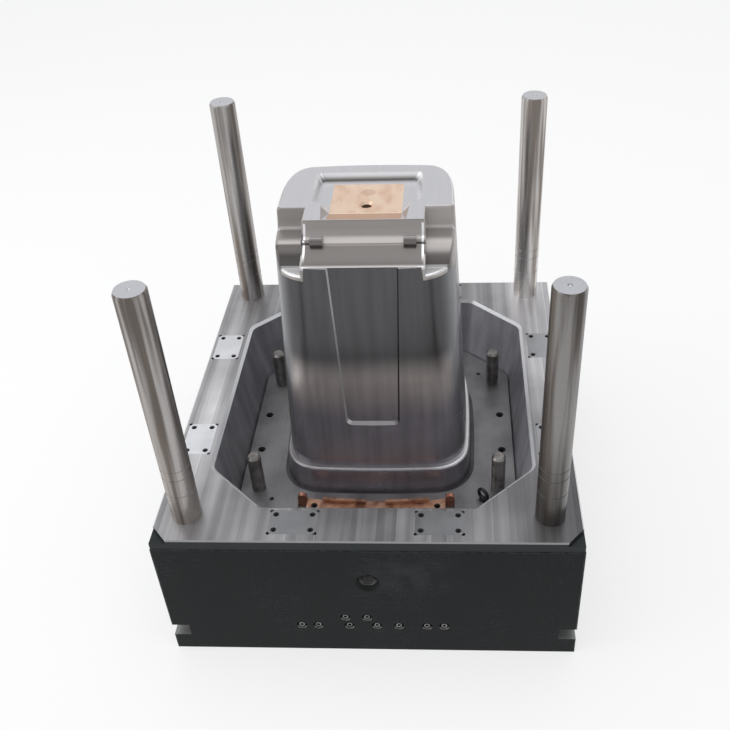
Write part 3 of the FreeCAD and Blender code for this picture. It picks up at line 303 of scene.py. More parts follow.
def blockRim(paint, look, fine):
    # Milled parting face: passes of uneven width from front to rear
    shade, fromEdge = paint.passes(paint.x, look["passWidth"], 0.013)
    rim = paint.mix(shade * 0.65 + fine * 0.35, look["rimDark"], look["rimLight"])
    lineShare = paint.fade(paint.noise(3.0, 2.0, (8, 1, 1), 3.3), 0.35, 0.65, 0.1, 0.6)
    onLine = 1 - paint.fade(fromEdge, 0.0002, 0.0010)
    rim = paint.mix(onLine * lineShare, rim, look["rimLineAndHighlight"])
    broad = paint.noise(38.0, 2.0, (1, 0.03, 1), 5.2)
    rim = paint.tone(rim, paint.fade(broad, 0.30, 0.70, 0.80, 1.22))
    rim = paint.tone(rim, paint.fade(paint.noise(5.0, 3.0, shift=4.4), 0.3, 0.7, 0.86, 1.10))

    # Painted light and shade: lighter along the left, darker in the middle and at the right front
    onLeft = paint.fade(paint.x, -0.30, -0.44)
    onRight = paint.fade(paint.x, 0.30, 0.44)
    leftTone = paint.fade(paint.y, -0.46, -0.25, *look["leftFrontTones"])
    leftTone = leftTone * paint.fade(paint.y, -0.25, 0.42, *look["leftTones"])
    rightTone = paint.fade(paint.y, -0.42, 0.40, *look["rightTones"])
    leftTone = paint.blend(onLeft, look["middleTone"], leftTone)
    return paint.tone(rim, paint.blend(onRight, leftTone, rightTone))


def makeBlockSteel():
    paint = Paint("blockSteel")
    look = blockLook
    edgeX = baseHigh.x - abs(paint.x)
    edgeY = baseHigh.y - abs(paint.y)
    inner = look["rimWidth"]
    pocket = paint.fade(edgeX, inner, inner + 0.005) * paint.fade(edgeY, inner, inner + 0.005)
    offCorner = paint.fade(edgeX, 0.10, 0.11)
    up = paint.fade(paint.normalZ, 0.80, 0.95)
    grain = paint.noise(9.0, 5.0, (1, 1, 0.35), 1.7)
    streaks = paint.scratches(26.0, (0.5, 0.5, 7.0), 2.3, 0.012)
    fine = paint.noise(520.0, 2.0, (1, 0.012, 1), 0.4)
    side = blockSide(paint, look, grain, streaks, edgeX, edgeY)
    colour = paint.mix(pocket, side, blockWall(paint, look))

    # Painted shade in the bores, painted highlights on the ports' upward-facing lips, and machined clamp
    # slots
    bore = paint.fade(edgeY, 0.003, 0.006) * (1 - pocket)
    bore = bore * (1 - paint.fade(paint.z, partingZ - 0.02, partingZ - 0.012))
    colour = paint.mix(bore * offCorner, colour, look["bore"])
    portLip = (1 - paint.fade(edgeY, 0.005, 0.007)) * paint.fade(edgeY, 0.0004, 0.0010)
    portLip = portLip * paint.fade(paint.normalZ, 0.25, 0.7)
    portLip = portLip * paint.within(paint.z, *look["portZ"], 0.002) * offCorner * (1 - pocket)
    colour = paint.mix(portLip, colour, look["portLip"])
    slotLow, slotHigh = look["slotZ"]
    slot = paint.within(edgeX, 0.0006, look["slotDepth"] + 0.0004, 0.0002)
    slot = slot * paint.within(paint.z, slotLow - 0.0006, slotHigh + 0.0006, 0.0002)
    slot = slot * (1 - paint.fade(abs(paint.normalY), 0.5, 0.9))
    colour = paint.mix(slot, colour, look["slot"])

    # The parting face and its chamfered edge
    onRim = up * paint.fade(paint.z, partingZ - 0.002, partingZ - 0.001)
    colour = paint.mix(onRim, colour, blockRim(paint, look, fine))
    # Painted highlight on the chamfer where it faces sideways
    chamfer = paint.within(paint.normalZ, 0.5, 0.85, 0.05)
    chamfer = chamfer * paint.fade(paint.z, partingZ - 0.009, partingZ - 0.008)
    sideways = paint.fade(abs(paint.normalX), 0.25, 0.45)
    colour = paint.mix(chamfer, colour, paint.mix(sideways, look["edgeDull"], look["rimLineAndHighlight"]))

    light = paint.higher(up, pocket)
    roughness = paint.fade(grain, 0.2, 0.8, 0.42, 0.56) - light * 0.12
    metallic = 0.55 + up * 0.2 - pocket * (1 - up) * 0.1
    height = fine * light + streaks * -0.6 + grain * 0.2
    return paint.finish(colour, roughness, metallic, height, 0.0004, 0.35, 0.2)


# The core's steel: polished sides, bright channel and milled top

coreLook = {
    "steep": tint(80, 79, 81),
    "steepWarm": tint(190, 181, 176),
    "steepCool": tint(146, 141, 148),
    "side": tint(122, 124, 128),
    "top": tint(206, 206, 210),
    "cove": tint(168, 163, 160),
    "coveDark": tint(110, 106, 104),
    "edge": tint(238, 238, 240),
    "ledge": tint(150, 147, 150),
    "ledgeRight": tint(240, 240, 242),
    "foot": tint(88, 83, 85),
    "footWarm": tint(108, 76, 64),
    "panelShade": tint(44, 43, 45),
    "warmBand": (0.500, 0.620),
    "footTopZ": 0.225,
    "topFromZ": 0.945,
    "panelHalf": 0.088,
    "panelLowZ": 0.44,
}
channelLook = {
    "frontY": -0.1714,
    "valleyY": -0.1115,
    "rearY": -0.082,
    "recessX": 0.1378,
    "recessRearY": -0.0150,
    "drumY": (-0.134, -0.092),
    "drumTone": 0.28,
    "drumToneRight": (0.28, 0.9),
    "floorZ": 0.8660,
    "ledgeZ": 0.8815,
    "recessLines": (-0.0290, -0.0385),
    "lipZ": 0.8950,
}


def coreSides(paint, look, cloud, rub):
    # Steep sides are polished, painted dark as shade, lighter low down on the front as painted light,
    # with a painted warm reflection as a pale band across the front
    frontShare = paint.fade(paint.normalY, -0.25, -0.80)
    low = paint.fade(paint.z, 0.66, 0.50) * (0.35 + frontShare * 0.65)
    steep = paint.mix(low, look["steep"], look["steepCool"])
    wander = (paint.noise(2.2, 2.0, shift=7.0) - 0.5) * 0.06
    warm = paint.within(paint.z + wander, *look["warmBand"], 0.045)
    steep = paint.mix(warm * (0.12 + frontShare * 0.68), steep, look["steepWarm"])
    # Painted light: faces turned sideways are lighter
    steep = paint.mix(paint.fade(abs(paint.normalX), 0.55, 0.95) * 0.8, steep, look["side"])
    steep = paint.tone(steep, paint.fade(cloud, 0.25, 0.75, 0.88, 1.14))
    steep = paint.tone(steep, 0.96 + rub * 0.08)
    wiped = paint.noise(40.0, 3.0, (1, 1, 0.06), 6.4)
    steep = paint.tone(steep, paint.fade(wiped, 0.3, 0.7, 0.90, 1.12))

    # The sunk panel's left edge catches the light and its right edge is in shade
    half = look["panelHalf"]
    lowZ = look["panelLowZ"]
    onPanel = 1 - paint.fade(abs(paint.x), half, half + 0.002)
    onPanel = onPanel * paint.fade(paint.z, lowZ, lowZ + 0.005)
    onPanel = onPanel * (1 - paint.fade(paint.y, -0.16, -0.15))
    steep = paint.mix(onPanel * paint.fade(paint.normalX, 0.06, 0.22) * 0.5, steep, look["edge"])
    steep = paint.mix(onPanel * paint.fade(paint.normalX, -0.06, -0.22), steep, look["panelShade"])

    # Foot, warm where the copper below is mirrored
    footZ = look["footTopZ"]
    belowLedge = 1 - paint.fade(paint.z, footZ - 0.006, footZ - 0.002)
    nearCopper = (1 - paint.fade(abs(paint.x), 0.10, 0.22)) * (1 - paint.fade(paint.y, -0.1, 0.0))
    footTone = paint.mix(nearCopper, look["foot"], look["footWarm"])
    return paint.mix(belowLedge, steep, footTone)


def coreChannel(paint, look, channel, up):
    # The channel's two coves, with painted shade low down and in the valley between them
    frontY = channel["frontY"]
    valleyY = channel["valleyY"]
    recessX = channel["recessX"]
    inRecess = paint.fade(abs(paint.x), recessX - 0.0004, recessX + 0.0004)
    inCove = 1 - inRecess
    lowerCove = paint.within(paint.y, frontY + 0.008, valleyY - 0.002, 0.003)
    tone = paint.mix(lowerCove * inCove, look["cove"], paint.tone(look["coveDark"], 1.05))
    valley = paint.within(paint.y, valleyY - 0.0016, valleyY + 0.0016, 0.0008)
    tone = paint.mix(valley * 0.7 * inCove, tone, look["coveDark"])
    shadeUnder = (1 - paint.fade(abs(paint.y - channel["rearY"]), 0.001, 0.012)) * inCove
    tone = paint.mix(shadeUnder * 0.35, tone, look["coveDark"])

    # Each wheel recess has painted shade on its drum, deeper on the left and at the left rear, and
    # painted highlights as bright lines where its faces meet
    drum = paint.within(paint.y, *channel["drumY"], 0.003) * inRecess
    rightTone = paint.fade(paint.y, -0.132, -0.098, *channel["drumToneRight"])
    drumTone = paint.blend(paint.fade(paint.x, -0.01, 0.01), channel["drumTone"], rightTone)
    tone = paint.tone(tone, paint.blend(drum, 1.0, drumTone))
    leftRear = inRecess * paint.fade(paint.y, -0.030, -0.024) * paint.fade(paint.x, 0.01, -0.01)
    tone = paint.tone(tone, 1 - leftRear * 0.3)
    for lineY in channel["recessLines"]:
        line = inRecess * (1 - paint.fade(abs(paint.y - lineY), 0.0010, 0.0022))
        tone = paint.mix(line * 0.75, tone, look["edge"])

    # Painted highlights on the front lip, the recess ledge and the tops of the walls between recess and
    # channel
    lip = 1 - paint.fade(paint.y, frontY + 0.001, frontY + 0.007)
    lip = lip * paint.fade(paint.z, channel["lipZ"], channel["lipZ"] + 0.002)
    onLedge = inRecess * (1 - paint.fade(paint.z, channel["ledgeZ"], channel["ledgeZ"] + 0.002)) * up
    tone = paint.mix(paint.higher(lip * 0.85, onLedge * 0.9), tone, look["edge"])
    wallTop = paint.within(abs(paint.x), recessX - 0.0045, recessX + 0.0006, 0.0006)
    wallTop = wallTop * paint.within(paint.normalZ, 0.12, 0.93, 0.05)
    tone = paint.mix(wallTop, tone, look["edge"])
    drag = paint.noise(340.0, 2.0, (0.02, 1, 1), 2.0)
    return paint.tone(tone, 0.94 + drag * 0.12)


def makeCoreSteel():
    paint = Paint("coreSteel")
    look = coreLook
    channel = channelLook
    up = paint.fade(paint.normalZ, 0.10, 0.70)
    cloud = paint.noise(3.2, 4.0, (1, 1, 1.6), 1.3)
    rub = paint.noise(240.0, 2.0, (0.04, 0.04, 1.0), 3.0)
    # Painted light: faces turned up are lighter, and the ledge on the right carries a painted highlight
    ledgeTone = paint.mix(paint.fade(paint.x, 0.13, 0.24), look["ledge"], look["ledgeRight"])
    colour = paint.mix(up, coreSides(paint, look, cloud, rub), ledgeTone)
    inside = paint.within(paint.y, channel["frontY"] + 0.0008, channel["recessRearY"], 0.0004)
    inside = inside * paint.fade(paint.z, channel["floorZ"], channel["floorZ"] + 0.0008)
    colour = paint.mix(inside, colour, coreChannel(paint, look, channel, up))

    # Milled top, painted lighter where it faces up, and painted highlights on the broken edges round it
    mill = paint.noise(340.0, 2.0, (1, 0.02, 1), 2.0)
    topZ = look["topFromZ"]
    onTop = paint.fade(paint.normalZ, 0.90, 0.985) * paint.fade(paint.z, topZ, topZ + 0.005)
    colour = paint.mix(onTop, colour, paint.tone(look["top"], 0.92 + mill * 0.12))
    nearTop = paint.fade(paint.z, coreTopZ - 0.019, coreTopZ - 0.0175)
    rolled = paint.within(paint.normalZ, 0.30, 0.93, 0.05) * nearTop
    sideways = paint.fade(abs(paint.normalX), 0.25, 0.5)
    rolledTone = paint.mix(sideways, look["cove"], look["edge"])
    colour = paint.mix(rolled * (1 - inside) * 0.9, colour, rolledTone)
    # Where the rounding faces front, painted shade low down and a painted highlight at the top
    facingFront = rolled * paint.fade(paint.normalY, -0.25, -0.5) * (1 - inside)
    rearWall = paint.fade(paint.z, coreTopZ - 0.016, coreTopZ - 0.004)
    colour = paint.mix(facingFront, colour, paint.mix(rearWall, look["coveDark"], look["edge"]))

    bright = paint.higher(onTop, inside)
    roughness = 0.21 + paint.fade(cloud, 0.2, 0.8, 0.0, 0.08) + bright * 0.05
    metallic = 0.62 + bright * 0.13
    height = rub * (1 - up) + mill * up
    return paint.finish(colour, roughness, metallic, height, 0.0002, 0.25)


# The two copper inserts

copperLook = {
    "top": tint(238, 212, 190),
    "topWarm": tint(222, 188, 162),
    "roundSpot": tint(186, 140, 112),
    "slope": tint(196, 160, 134),
    "line": tint(250, 232, 206),
    "mouth": tint(120, 84, 62),
    "handle": tint(200, 156, 130),
    "handleDark": tint(142, 106, 88),
    "handleGlint": tint(232, 204, 182),
    "lug": tint(176, 112, 90),
    "slopeStartY": -0.0205,
    "spotFromRear": 0.042,
    "spotWide": 0.020,
    "spotDeep": 0.018,
    "mouthSunk": 0.0235,
    "lugLength": 0.023,
}


def makeTopCopper():
    paint = Paint("topCopper")
    look = copperLook
    cloud = paint.noise(26.0, 4.0, (1, 0.5, 1), 2.2)
    colour = paint.mix(paint.fade(cloud, 0.38, 0.72), look["top"], look["topWarm"])
    # A faint darker round spot behind the valve
    offsetX = paint.x / look["spotWide"]
    offsetY = (paint.y - insertRearY + look["spotFromRear"]) / look["spotDeep"]
    ring = paint.math("SQRT", offsetX * offsetX + offsetY * offsetY)
    colour = paint.mix(paint.fade(ring, 1.1, 0.7) * 0.35, colour, look["roundSpot"])
    # The slope at the front is painted darker as shade, with a painted highlight line where it leaves
    # the level
    slopeY = look["slopeStartY"]
    colour = paint.mix(1 - paint.fade(paint.y, slopeY - 0.001, slopeY + 0.001), colour, look["slope"])
    onLine = paint.within(paint.y, slopeY - 0.0018, slopeY + 0.0018, 0.0009)
    colour = paint.mix(onLine, colour, look["line"])
    # Painted shade inside the valve's mouth
    mouthX = paint.x - valveAxis.x
    mouthY = paint.y - valveAxis.y
    mouth = paint.math("SQRT", mouthX * mouthX + mouthY * mouthY)
    mouthZ = coreTopZ - look["mouthSunk"]
    inMouth = (1 - paint.fade(mouth, 0.0122, 0.0132)) * (1 - paint.fade(paint.z, mouthZ - 0.001, mouthZ))
    colour = paint.mix(inMouth * 0.8, colour, look["mouth"])
    drag = paint.noise(420.0, 2.0, (1, 0.02, 1), 1.0)
    colour = paint.tone(colour, 0.95 + drag * 0.08)
    roughness = 0.32 + paint.fade(cloud, 0.3, 0.7, 0.0, 0.12)
    return paint.finish(colour, roughness, 0.7, drag, 0.0002, 0.3)


def makeHandleCopper():
    paint = Paint("handleCopper")
    look = copperLook
    cloud = paint.noise(34.0, 4.0, (1, 1, 1.4), 4.0)
    colour = paint.mix(paint.fade(cloud, 0.30, 0.62), look["handleDark"], look["handle"])
    # Painted glints: small bright spots
    glint = paint.fade(paint.noise(90.0, 3.0, (0.5, 1, 1), 7.0), 0.60, 0.72)
    colour = paint.mix(glint * 0.65, colour, look["handleGlint"])
    lugX = handleEndX - look["lugLength"]
    lug = paint.fade(abs(paint.x), lugX - 0.003, lugX)
    colour = paint.mix(lug * 0.6, colour, look["lug"])
    # Painted light: faces turned up are lighter, faces turned front darker
    colour = paint.tone(colour, paint.fade(paint.normalZ, 0.0, 0.9, 0.85, 1.25))
    roughness = 0.24 + paint.fade(cloud, 0.3, 0.7, 0.0, 0.16)
    return paint.finish(colour, roughness, 0.7, cloud, 0.0006, 0.3)


# The pillars' ground steel

pillarLook = {
    "steel": tint(176, 173, 171),
    "dark": tint(104, 97, 92),
    "warm": tint(152, 138, 126),
    "end": tint(196, 198, 203),
    "rearRight": 1.55,
    "frontRight": 0.60,
    "frontRightFoot": 0.50,
}


def makePillarSteel():
    paint = Paint("pillarSteel")
    look = pillarLook
    # Streaks up the pillar are painted reflections of its surroundings; fine turning marks run round it
    streak = paint.noise(46.0, 3.0, (1, 1, 0.035), 2.0)
    broad = paint.noise(17.0, 2.0, (1, 1, 0.08), 6.0)
    turning = paint.noise(900.0, 1.0, (0.01, 0.01, 1), 1.0)
    colour = paint.mix(paint.fade(streak, 0.42, 0.66), look["steel"], look["dark"])
    colour = paint.mix(paint.fade(broad, 0.45, 0.70) * 0.55, colour, look["warm"])
    colour = paint.tone(colour, 0.94 + turning * 0.12)
    # Painted light and shade: the rear right pillar lighter, the front right one darker, darkest at its
    # foot
    isRight = paint.fade(paint.x, -0.1, 0.1)
    isRear = paint.fade(paint.y, -0.1, 0.1)
    footTone = paint.fade(paint.z, 0.46, 0.72, look["frontRightFoot"], 1.0)
    rightTone = paint.blend(isRear, footTone * look["frontRight"], look["rearRight"])
    colour = paint.tone(colour, paint.blend(isRight, 1.0, rightTone))
    end = paint.fade(paint.normalZ, 0.7, 0.95)
    colour = paint.mix(end, colour, look["end"])
    roughness = 0.24 + paint.fade(streak, 0.3, 0.7, 0.0, 0.14)
    return paint.finish(colour, roughness, 0.75, turning, 0.0002, 0.35)


# Plain finishes: two tones in soft patches, under a fine grain

plainLooks = {
    "stripperSteel": {
        "dark": tint(112, 111, 113),
        "light": tint(158, 156, 157),
        "patch": 9.0,
        "grain": 380.0,
        "stretch": (1, 0.02, 1),
        "rough": (0.32, 0.46),
        "metal": 0.7,
        "depth": 0.0002,
    },
    "ringSteel": {
        "dark": tint(60, 59, 61),
        "light": tint(96, 95, 97),
        "patch": 12.0,
        "grain": 300.0,
        "stretch": (1, 1, 0.05),
        "rough": (0.26, 0.40),
        "metal": 0.7,
        "depth": 0.0002,
    },
    "wearSteel": {
        "dark": tint(168, 169, 172),
        "light": tint(184, 185, 188),
        "patch": 18.0,
        "grain": 700.0,
        "stretch": (0.02, 1, 1),
        "rough": (0.30, 0.42),
        "metal": 0.7,
        "depth": 0.0002,
        "litLeft": 1.75,
        "shadedFront": 0.56,
    },
    "screwSteel": {
        "dark": tint(34, 34, 36),
        "light": tint(62, 62, 64),
        "patch": 90.0,
        "grain": 900.0,
        "stretch": (1, 1, 1),
        "rough": (0.32, 0.50),
        "metal": 0.7,
        "depth": 0.0001,
    },
    "boreSteel": {
        "dark": tint(66, 65, 65),
        "light": tint(118, 116, 114),
        "patch": 60.0,
        "grain": 900.0,
        "stretch": (1, 1, 1),
        "rough": (0.30, 0.45),
        "metal": 0.7,
        "depth": 0.0001,
    },
    "nippleSteel": {
        "dark": tint(92, 92, 94),
        "light": tint(176, 176, 178),
        "patch": 60.0,
        "grain": 600.0,
        "stretch": (1, 0.1, 1),
        "rough": (0.20, 0.36),
        "metal": 0.85,
        "depth": 0.0001,
    },
    "bronze": {
        "dark": tint(142, 112, 64),
        "light": tint(188, 154, 98),
        "patch": 40.0,
        "grain": 700.0,
        "stretch": (1, 1, 0.1),
        "rough": (0.28, 0.42),
        "metal": 0.85,
        "depth": 0.0001,
    },
    "sealRubber": {
        "dark": tint(20, 20, 21),
        "light": tint(34, 34, 35),
        "patch": 80.0,
        "grain": 900.0,
        "stretch": (1, 1, 1),
        "rough": (0.55, 0.75),
        "metal": 0.0,
        "depth": 0.0002,
    },
    "pinSteel": {
        "dark": tint(98, 95, 94),
        "light": tint(168, 164, 161),
        "patch": 30.0,
        "grain": 60.0,
        "stretch": (1, 1, 0.05),
        "rough": (0.24, 0.40),
        "metal": 0.75,
        "depth": 0.0002,
    },
}


def makePlain(name):
    paint = Paint(name)
    look = plainLooks[name]
    cloud = paint.noise(look["patch"], 4.0, shift=1.9)
    grain = paint.noise(look["grain"], 2.0, look["stretch"], 0.8)
    share = paint.fade(cloud, 0.3, 0.7) * 0.6 + grain * 0.4
    colour = paint.mix(share, look["dark"], look["light"])
    if "litLeft" in look:
        # Painted light: brighter on the left of the block, painted shade along its front
        left = paint.fade(paint.x, -0.36, -0.42)
        front = 1 - paint.fade(paint.y, -0.40, -0.34)
        frontTone = paint.blend(front, 1.0, look["shadedFront"])
        colour = paint.tone(colour, paint.blend(left, frontTone, look["litLeft"]))
    low, high = look["rough"]
    roughness = paint.fade(cloud, 0.25, 0.75, low, high)
    return paint.finish(colour, roughness, look["metal"], grain, look["depth"], 0.3)


finishes = {name: makePlain(name) for name in plainLooks}
finishes["blockSteel"] = makeBlockSteel()
finishes["coreSteel"] = makeCoreSteel()
finishes["topCopper"] = makeTopCopper()
finishes["handleCopper"] = makeHandleCopper()
finishes["pillarSteel"] = makePillarSteel()
print("finishes made:", len(finishes))

finishOfNode = {
    "core_plate": "blockSteel",
    "core_body": "coreSteel",
    "core_cap": "coreSteel",
    "core_top_insert": "topCopper",
    "handle_insert": "handleCopper",
    "stripper_plate": "stripperSteel",
    "stripper_ring": "ringSteel",
    "stripper_pin_bushes": "stripperSteel",
    "ejector_rod_bushes": "bronze",
    "coolant_baffles": "bronze",
    "air_valve_guide": "bronze",
    "air_valve": "boreSteel",
    "air_valve_springs": "pillarSteel",
    "core_dowels": "pillarSteel",
    "coolant_nipples": "nippleSteel",
    "air_nipple": "nippleSteel",
    "seal_rings": "sealRubber",
}
# Finishes of the nodes whose names start the same; what is left is dark steel, as all screws are
finishOfFamily = {
    "frame_": "blockSteel",
    "wear_plate_": "wearSteel",
    "guide_pillar_": "pillarSteel",
    "ejector_rod_": "pillarSteel",
    "stripper_guide_pin_": "pinSteel",
}


def finishFor(name):
    if name in finishOfNode:
        return finishOfNode[name]
    if not name.endswith("screws"):
        for start, finish in finishOfFamily.items():
            if name.startswith(start):
                return finish
    return "screwSteel"


for name, solid in nodes.items():
    solid.data.materials.clear()
    solid.data.materials.append(finishes[finishFor(name)])
print("solids dressed")


# Turned and repeated pieces, made with Geometry Nodes

class Build(Graph):
    # A tree with named sizes, run on points that say where each piece stands and which way it faces
    def __init__(self, name, sizes):
        super().__init__(bpy.data.node_groups.new(name, "GeometryNodeTree"))
        face = self.tree.interface
        face.new_socket("Pieces", in_out="OUTPUT", socket_type="NodeSocketGeometry")
        face.new_socket("Places", in_out="INPUT", socket_type="NodeSocketGeometry")
        self.sizes = sizes
        self.keys = {}
        for label, value in sizes.items():
            kind = "NodeSocketInt" if isinstance(value, int) else "NodeSocketFloat"
            self.keys[label] = face.new_socket(label, in_out="INPUT", socket_type=kind).identifier
        given = self.tree.nodes.new("NodeGroupInput")
        self.places = Num(self, given.outputs["Places"])
        self.given = {label: Num(self, given.outputs[label]) for label in sizes}

    def pick(self, index, values):
        # The value that belongs to a row number
        inputs = {0: index}
        inputs.update({i + 1: value for i, value in enumerate(values)})
        settings = {"data_type": "FLOAT", "choices": len(values)}
        return self.node("GeometryNodeIndexSwitch", settings, inputs)

    def net(self, columns, rows):
        # A flat grid to be bent into shape, with each point's column and row number
        inputs = {"Vertices X": columns, "Vertices Y": rows}
        mesh = self.node("GeometryNodeMeshGrid", inputs=inputs)
        index = self.node("GeometryNodeInputIndex")
        column = self.math("FLOOR", (index + 0.5) / rows)
        return mesh, column, index - column * rows

    def bend(self, mesh, radius, angle, height):
        place = self.join(radius * self.math("COSINE", angle), radius * self.math("SINE", angle), height)
        bent = self.node("GeometryNodeSetPosition", inputs={"Geometry": mesh, "Position": place})
        return self.node("GeometryNodeMergeByDistance", inputs={"Geometry": bent, "Distance": 1e-6})

    def turned(self, sides, stations):
        # A body of revolution from (height, radius) stations
        # A third value of 1 makes that ring a hexagon
        mesh, column, row = self.net(sides + 1, len(stations))
        angle = column * (2 * math.pi / sides)
        height = self.pick(row, [station[0] for station in stations])
        radius = self.pick(row, [station[1] for station in stations])
        if any(len(station) > 2 for station in stations):
            flat = self.pick(row, [station[2] if len(station) > 2 else 0.0 for station in stations])
            offset = self.math("FLOORED_MODULO", angle, math.pi / 3) - math.pi / 6
            reach = math.cos(math.pi / 6) / self.math("COSINE", offset)
            radius = radius * (1 + flat * (reach - 1))
        return self.bend(mesh, radius, angle, height)

    def standing(self, piece, turn=None):
        # The piece at every place, its own height along the place's axis
        kind = {"data_type": "FLOAT_VECTOR"}
        axis = self.node("GeometryNodeInputNamedAttribute", kind, {"Name": "axis"})
        facing = self.node("FunctionNodeAlignRotationToVector", {"axis": "Z"}, {"Vector": axis})
        if turn is not None:
            inputs = {"Axis": (0, 0, 1), "Angle": turn}
            spin = self.node("FunctionNodeAxisAngleToRotation", inputs=inputs)
            inputs = {"Rotation": facing, "Rotate By": spin}
            facing = self.node("FunctionNodeRotateRotation", {"rotation_space": "LOCAL"}, inputs)
        inputs = {"Points": self.places, "Instance": piece, "Rotation": facing}
        return self.node("GeometryNodeInstanceOnPoints", inputs=inputs)

    def close(self, geometry, finish):
        real = self.node("GeometryNodeRealizeInstances", inputs={"Geometry": geometry})
        inputs = {"Geometry": real, "Material": finishes[finish]}
        dressed = self.node("GeometryNodeSetMaterial", inputs=inputs)
        self.node("NodeGroupOutput", inputs={0: dressed})

    def make(self, name, places, body, smoothUnder=35):
        # Runs the tree and keeps what it makes as one plain mesh that rides on the body
        mesh = bpy.data.meshes.new(name + "Places")
        mesh.from_pydata([place for place, axis in places], [], [])
        axes = mesh.attributes.new("axis", "FLOAT_VECTOR", "POINT")
        for entry, (place, axis) in zip(axes.data, places):
            entry.vector = axis
        marks = bpy.data.objects.new(name + "Places", mesh)
        bpy.context.scene.collection.objects.link(marks)
        modifier = marks.modifiers.new("making", "NODES")
        modifier.node_group = self.tree
        for label, value in self.sizes.items():
            modifier[self.keys[label]] = value
        bpy.context.view_layer.update()
        grown = marks.evaluated_get(bpy.context.evaluated_depsgraph_get())
        result = bpy.data.meshes.new_from_object(grown)
        marks.modifiers.remove(modifier)
        bpy.data.objects.remove(marks)
        shell = bmesh.new()
        shell.from_mesh(result)
        bmesh.ops.recalc_face_normals(shell, faces=shell.faces)
        shell.to_mesh(result)
        shell.free()
        result.shade_smooth()
        result.set_sharp_from_angle(angle=math.radians(smoothUnder))
        piece = bpy.data.objects.new(name, result)
        bpy.context.scene.collection.objects.link(piece)
        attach(piece, body)
        print("made", name, "with", len(result.polygons), "faces")
        return piece


pillarSizes = {
    "Radius": 0.035,
    "Foot": 0.240,
    "Top": 1.0345,
    "Lead Height": 0.006,
    "Lead Width": 0.003,
    "Centre Radius": 0.005,
    "Groove Width": 0.003,
    "Groove Depth": 0.001,
    "Groove Low": 0.488,
    "Groove Middle": 0.539,
    "Groove High": 0.565,
}
pillarPlaces = {
    "guide_pillar_front_left": (-0.425, -0.449),
    "guide_pillar_front_right": (0.425, -0.449),
    "guide_pillar_rear_left": (-0.425, 0.475),
    "guide_pillar_rear_right": (0.425, 0.475),
}


def makePillars():
    build = Build("turnedPillar", pillarSizes)
    given = build.given
    radius = given["Radius"]
    stations = [(given["Foot"], 0.0), (given["Foot"], radius)]
    for label in ("Groove Low", "Groove Middle", "Groove High"):
        low = given[label]
        high = low + given["Groove Width"]
        inner = radius - given["Groove Depth"]
        stations += [(low, radius), (low, inner), (high, inner), (high, radius)]
    top = given["Top"]
    centre = given["Centre Radius"]
    stations += [(top - given["Lead Height"], radius), (top, radius - given["Lead Width"])]
    stations += [(top, centre), (top - centre, 0.0)]
    build.close(build.standing(build.turned(96, stations)), "pillarSteel")
    places = [((x, y, 0), (0, 0, 1)) for x, y in pillarPlaces.values()]
    piece = build.make("guidePillars", places, "mould_base")
    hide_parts(*pillarPlaces)


plateScrewSizes = {
    "Head Radius": 0.0063,
    "Head Height": 0.008,
    "Edge": 0.0006,
    "Socket Width": 0.0060,
    "Socket Depth": 0.0042,
    "Shank Radius": 0.004,
    "Shank Length": 0.0155,
    "Seed": 7,
}
plateScrews = {
    "topZ": partingZ - 0.0025,
    "long": 0.086,
    "short": 0.047,
    "upright": [(-0.4515, -0.190), (-0.4515, 0.202), (0.4515, -0.190), (0.4515, 0.202)],
    "crosswise": [(-0.170, -0.4735), (0.170, -0.4735), (-0.170, 0.483), (0.170, 0.483)],
}


def makePlateScrews():
    build = Build("plateScrew", plateScrewSizes)
    given = build.given
    head = given["Head Radius"]
    under = -given["Head Height"]
    shank = given["Shank Radius"]
    tip = under - given["Shank Length"]
    corner = given["Socket Width"] / math.sqrt(3)
    floor = -given["Socket Depth"]
    stations = [(tip, 0.0), (tip, shank), (under, shank), (under, head), (-given["Edge"], head),
                (0.0, head - given["Edge"]), (0.0, corner, 1.0), (floor, corner, 1.0), (floor, 0.0)]
    inputs = {2: 0.0, 3: 2 * math.pi, "Seed": given["Seed"]}
    turn = build.node("FunctionNodeRandomValue", {"data_type": "FLOAT"}, inputs, 1)
    build.close(build.standing(build.turned(24, stations), turn), "screwSteel")
    places = []
    for key, (wide, deep) in {"upright": ("short", "long"), "crosswise": ("long", "short")}.items():
        for x, y in plateScrews[key]:
            for signX in (-0.5, 0.5):
                for signY in (-0.5, 0.5):
                    atX = x + signX * plateScrews[wide]
                    atY = y + signY * plateScrews[deep]
                    places.append(((atX, atY, plateScrews["topZ"]), (0, 0, 1)))
    piece = build.make("plateScrewHeads", places, "mould_base")
    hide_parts("wear_plate_screws")


liftingThread = {
    "Bore": 0.0215,
    "Pitch": 0.005,
    "Crest": 0.0016,
    "Root": 0.0003,
    "Start": 0.0,
    "Turns": 14,
}
tappedThread = {
    "Bore": 0.00605,
    "Pitch": 0.00175,
    "Crest": 0.0005,
    "Root": 0.0001,
    "Start": 0.0004,
    "Turns": 14,
}
threadPlaces = {
    "lifting": [((0, -0.5265, 0.259), (0, -1, 0)), ((0, 0.5265, 0.259), (0, 1, 0))],
    "tapped": [(-0.279, -0.234), (-0.279, 0.290), (0.279, 0.290)],
}


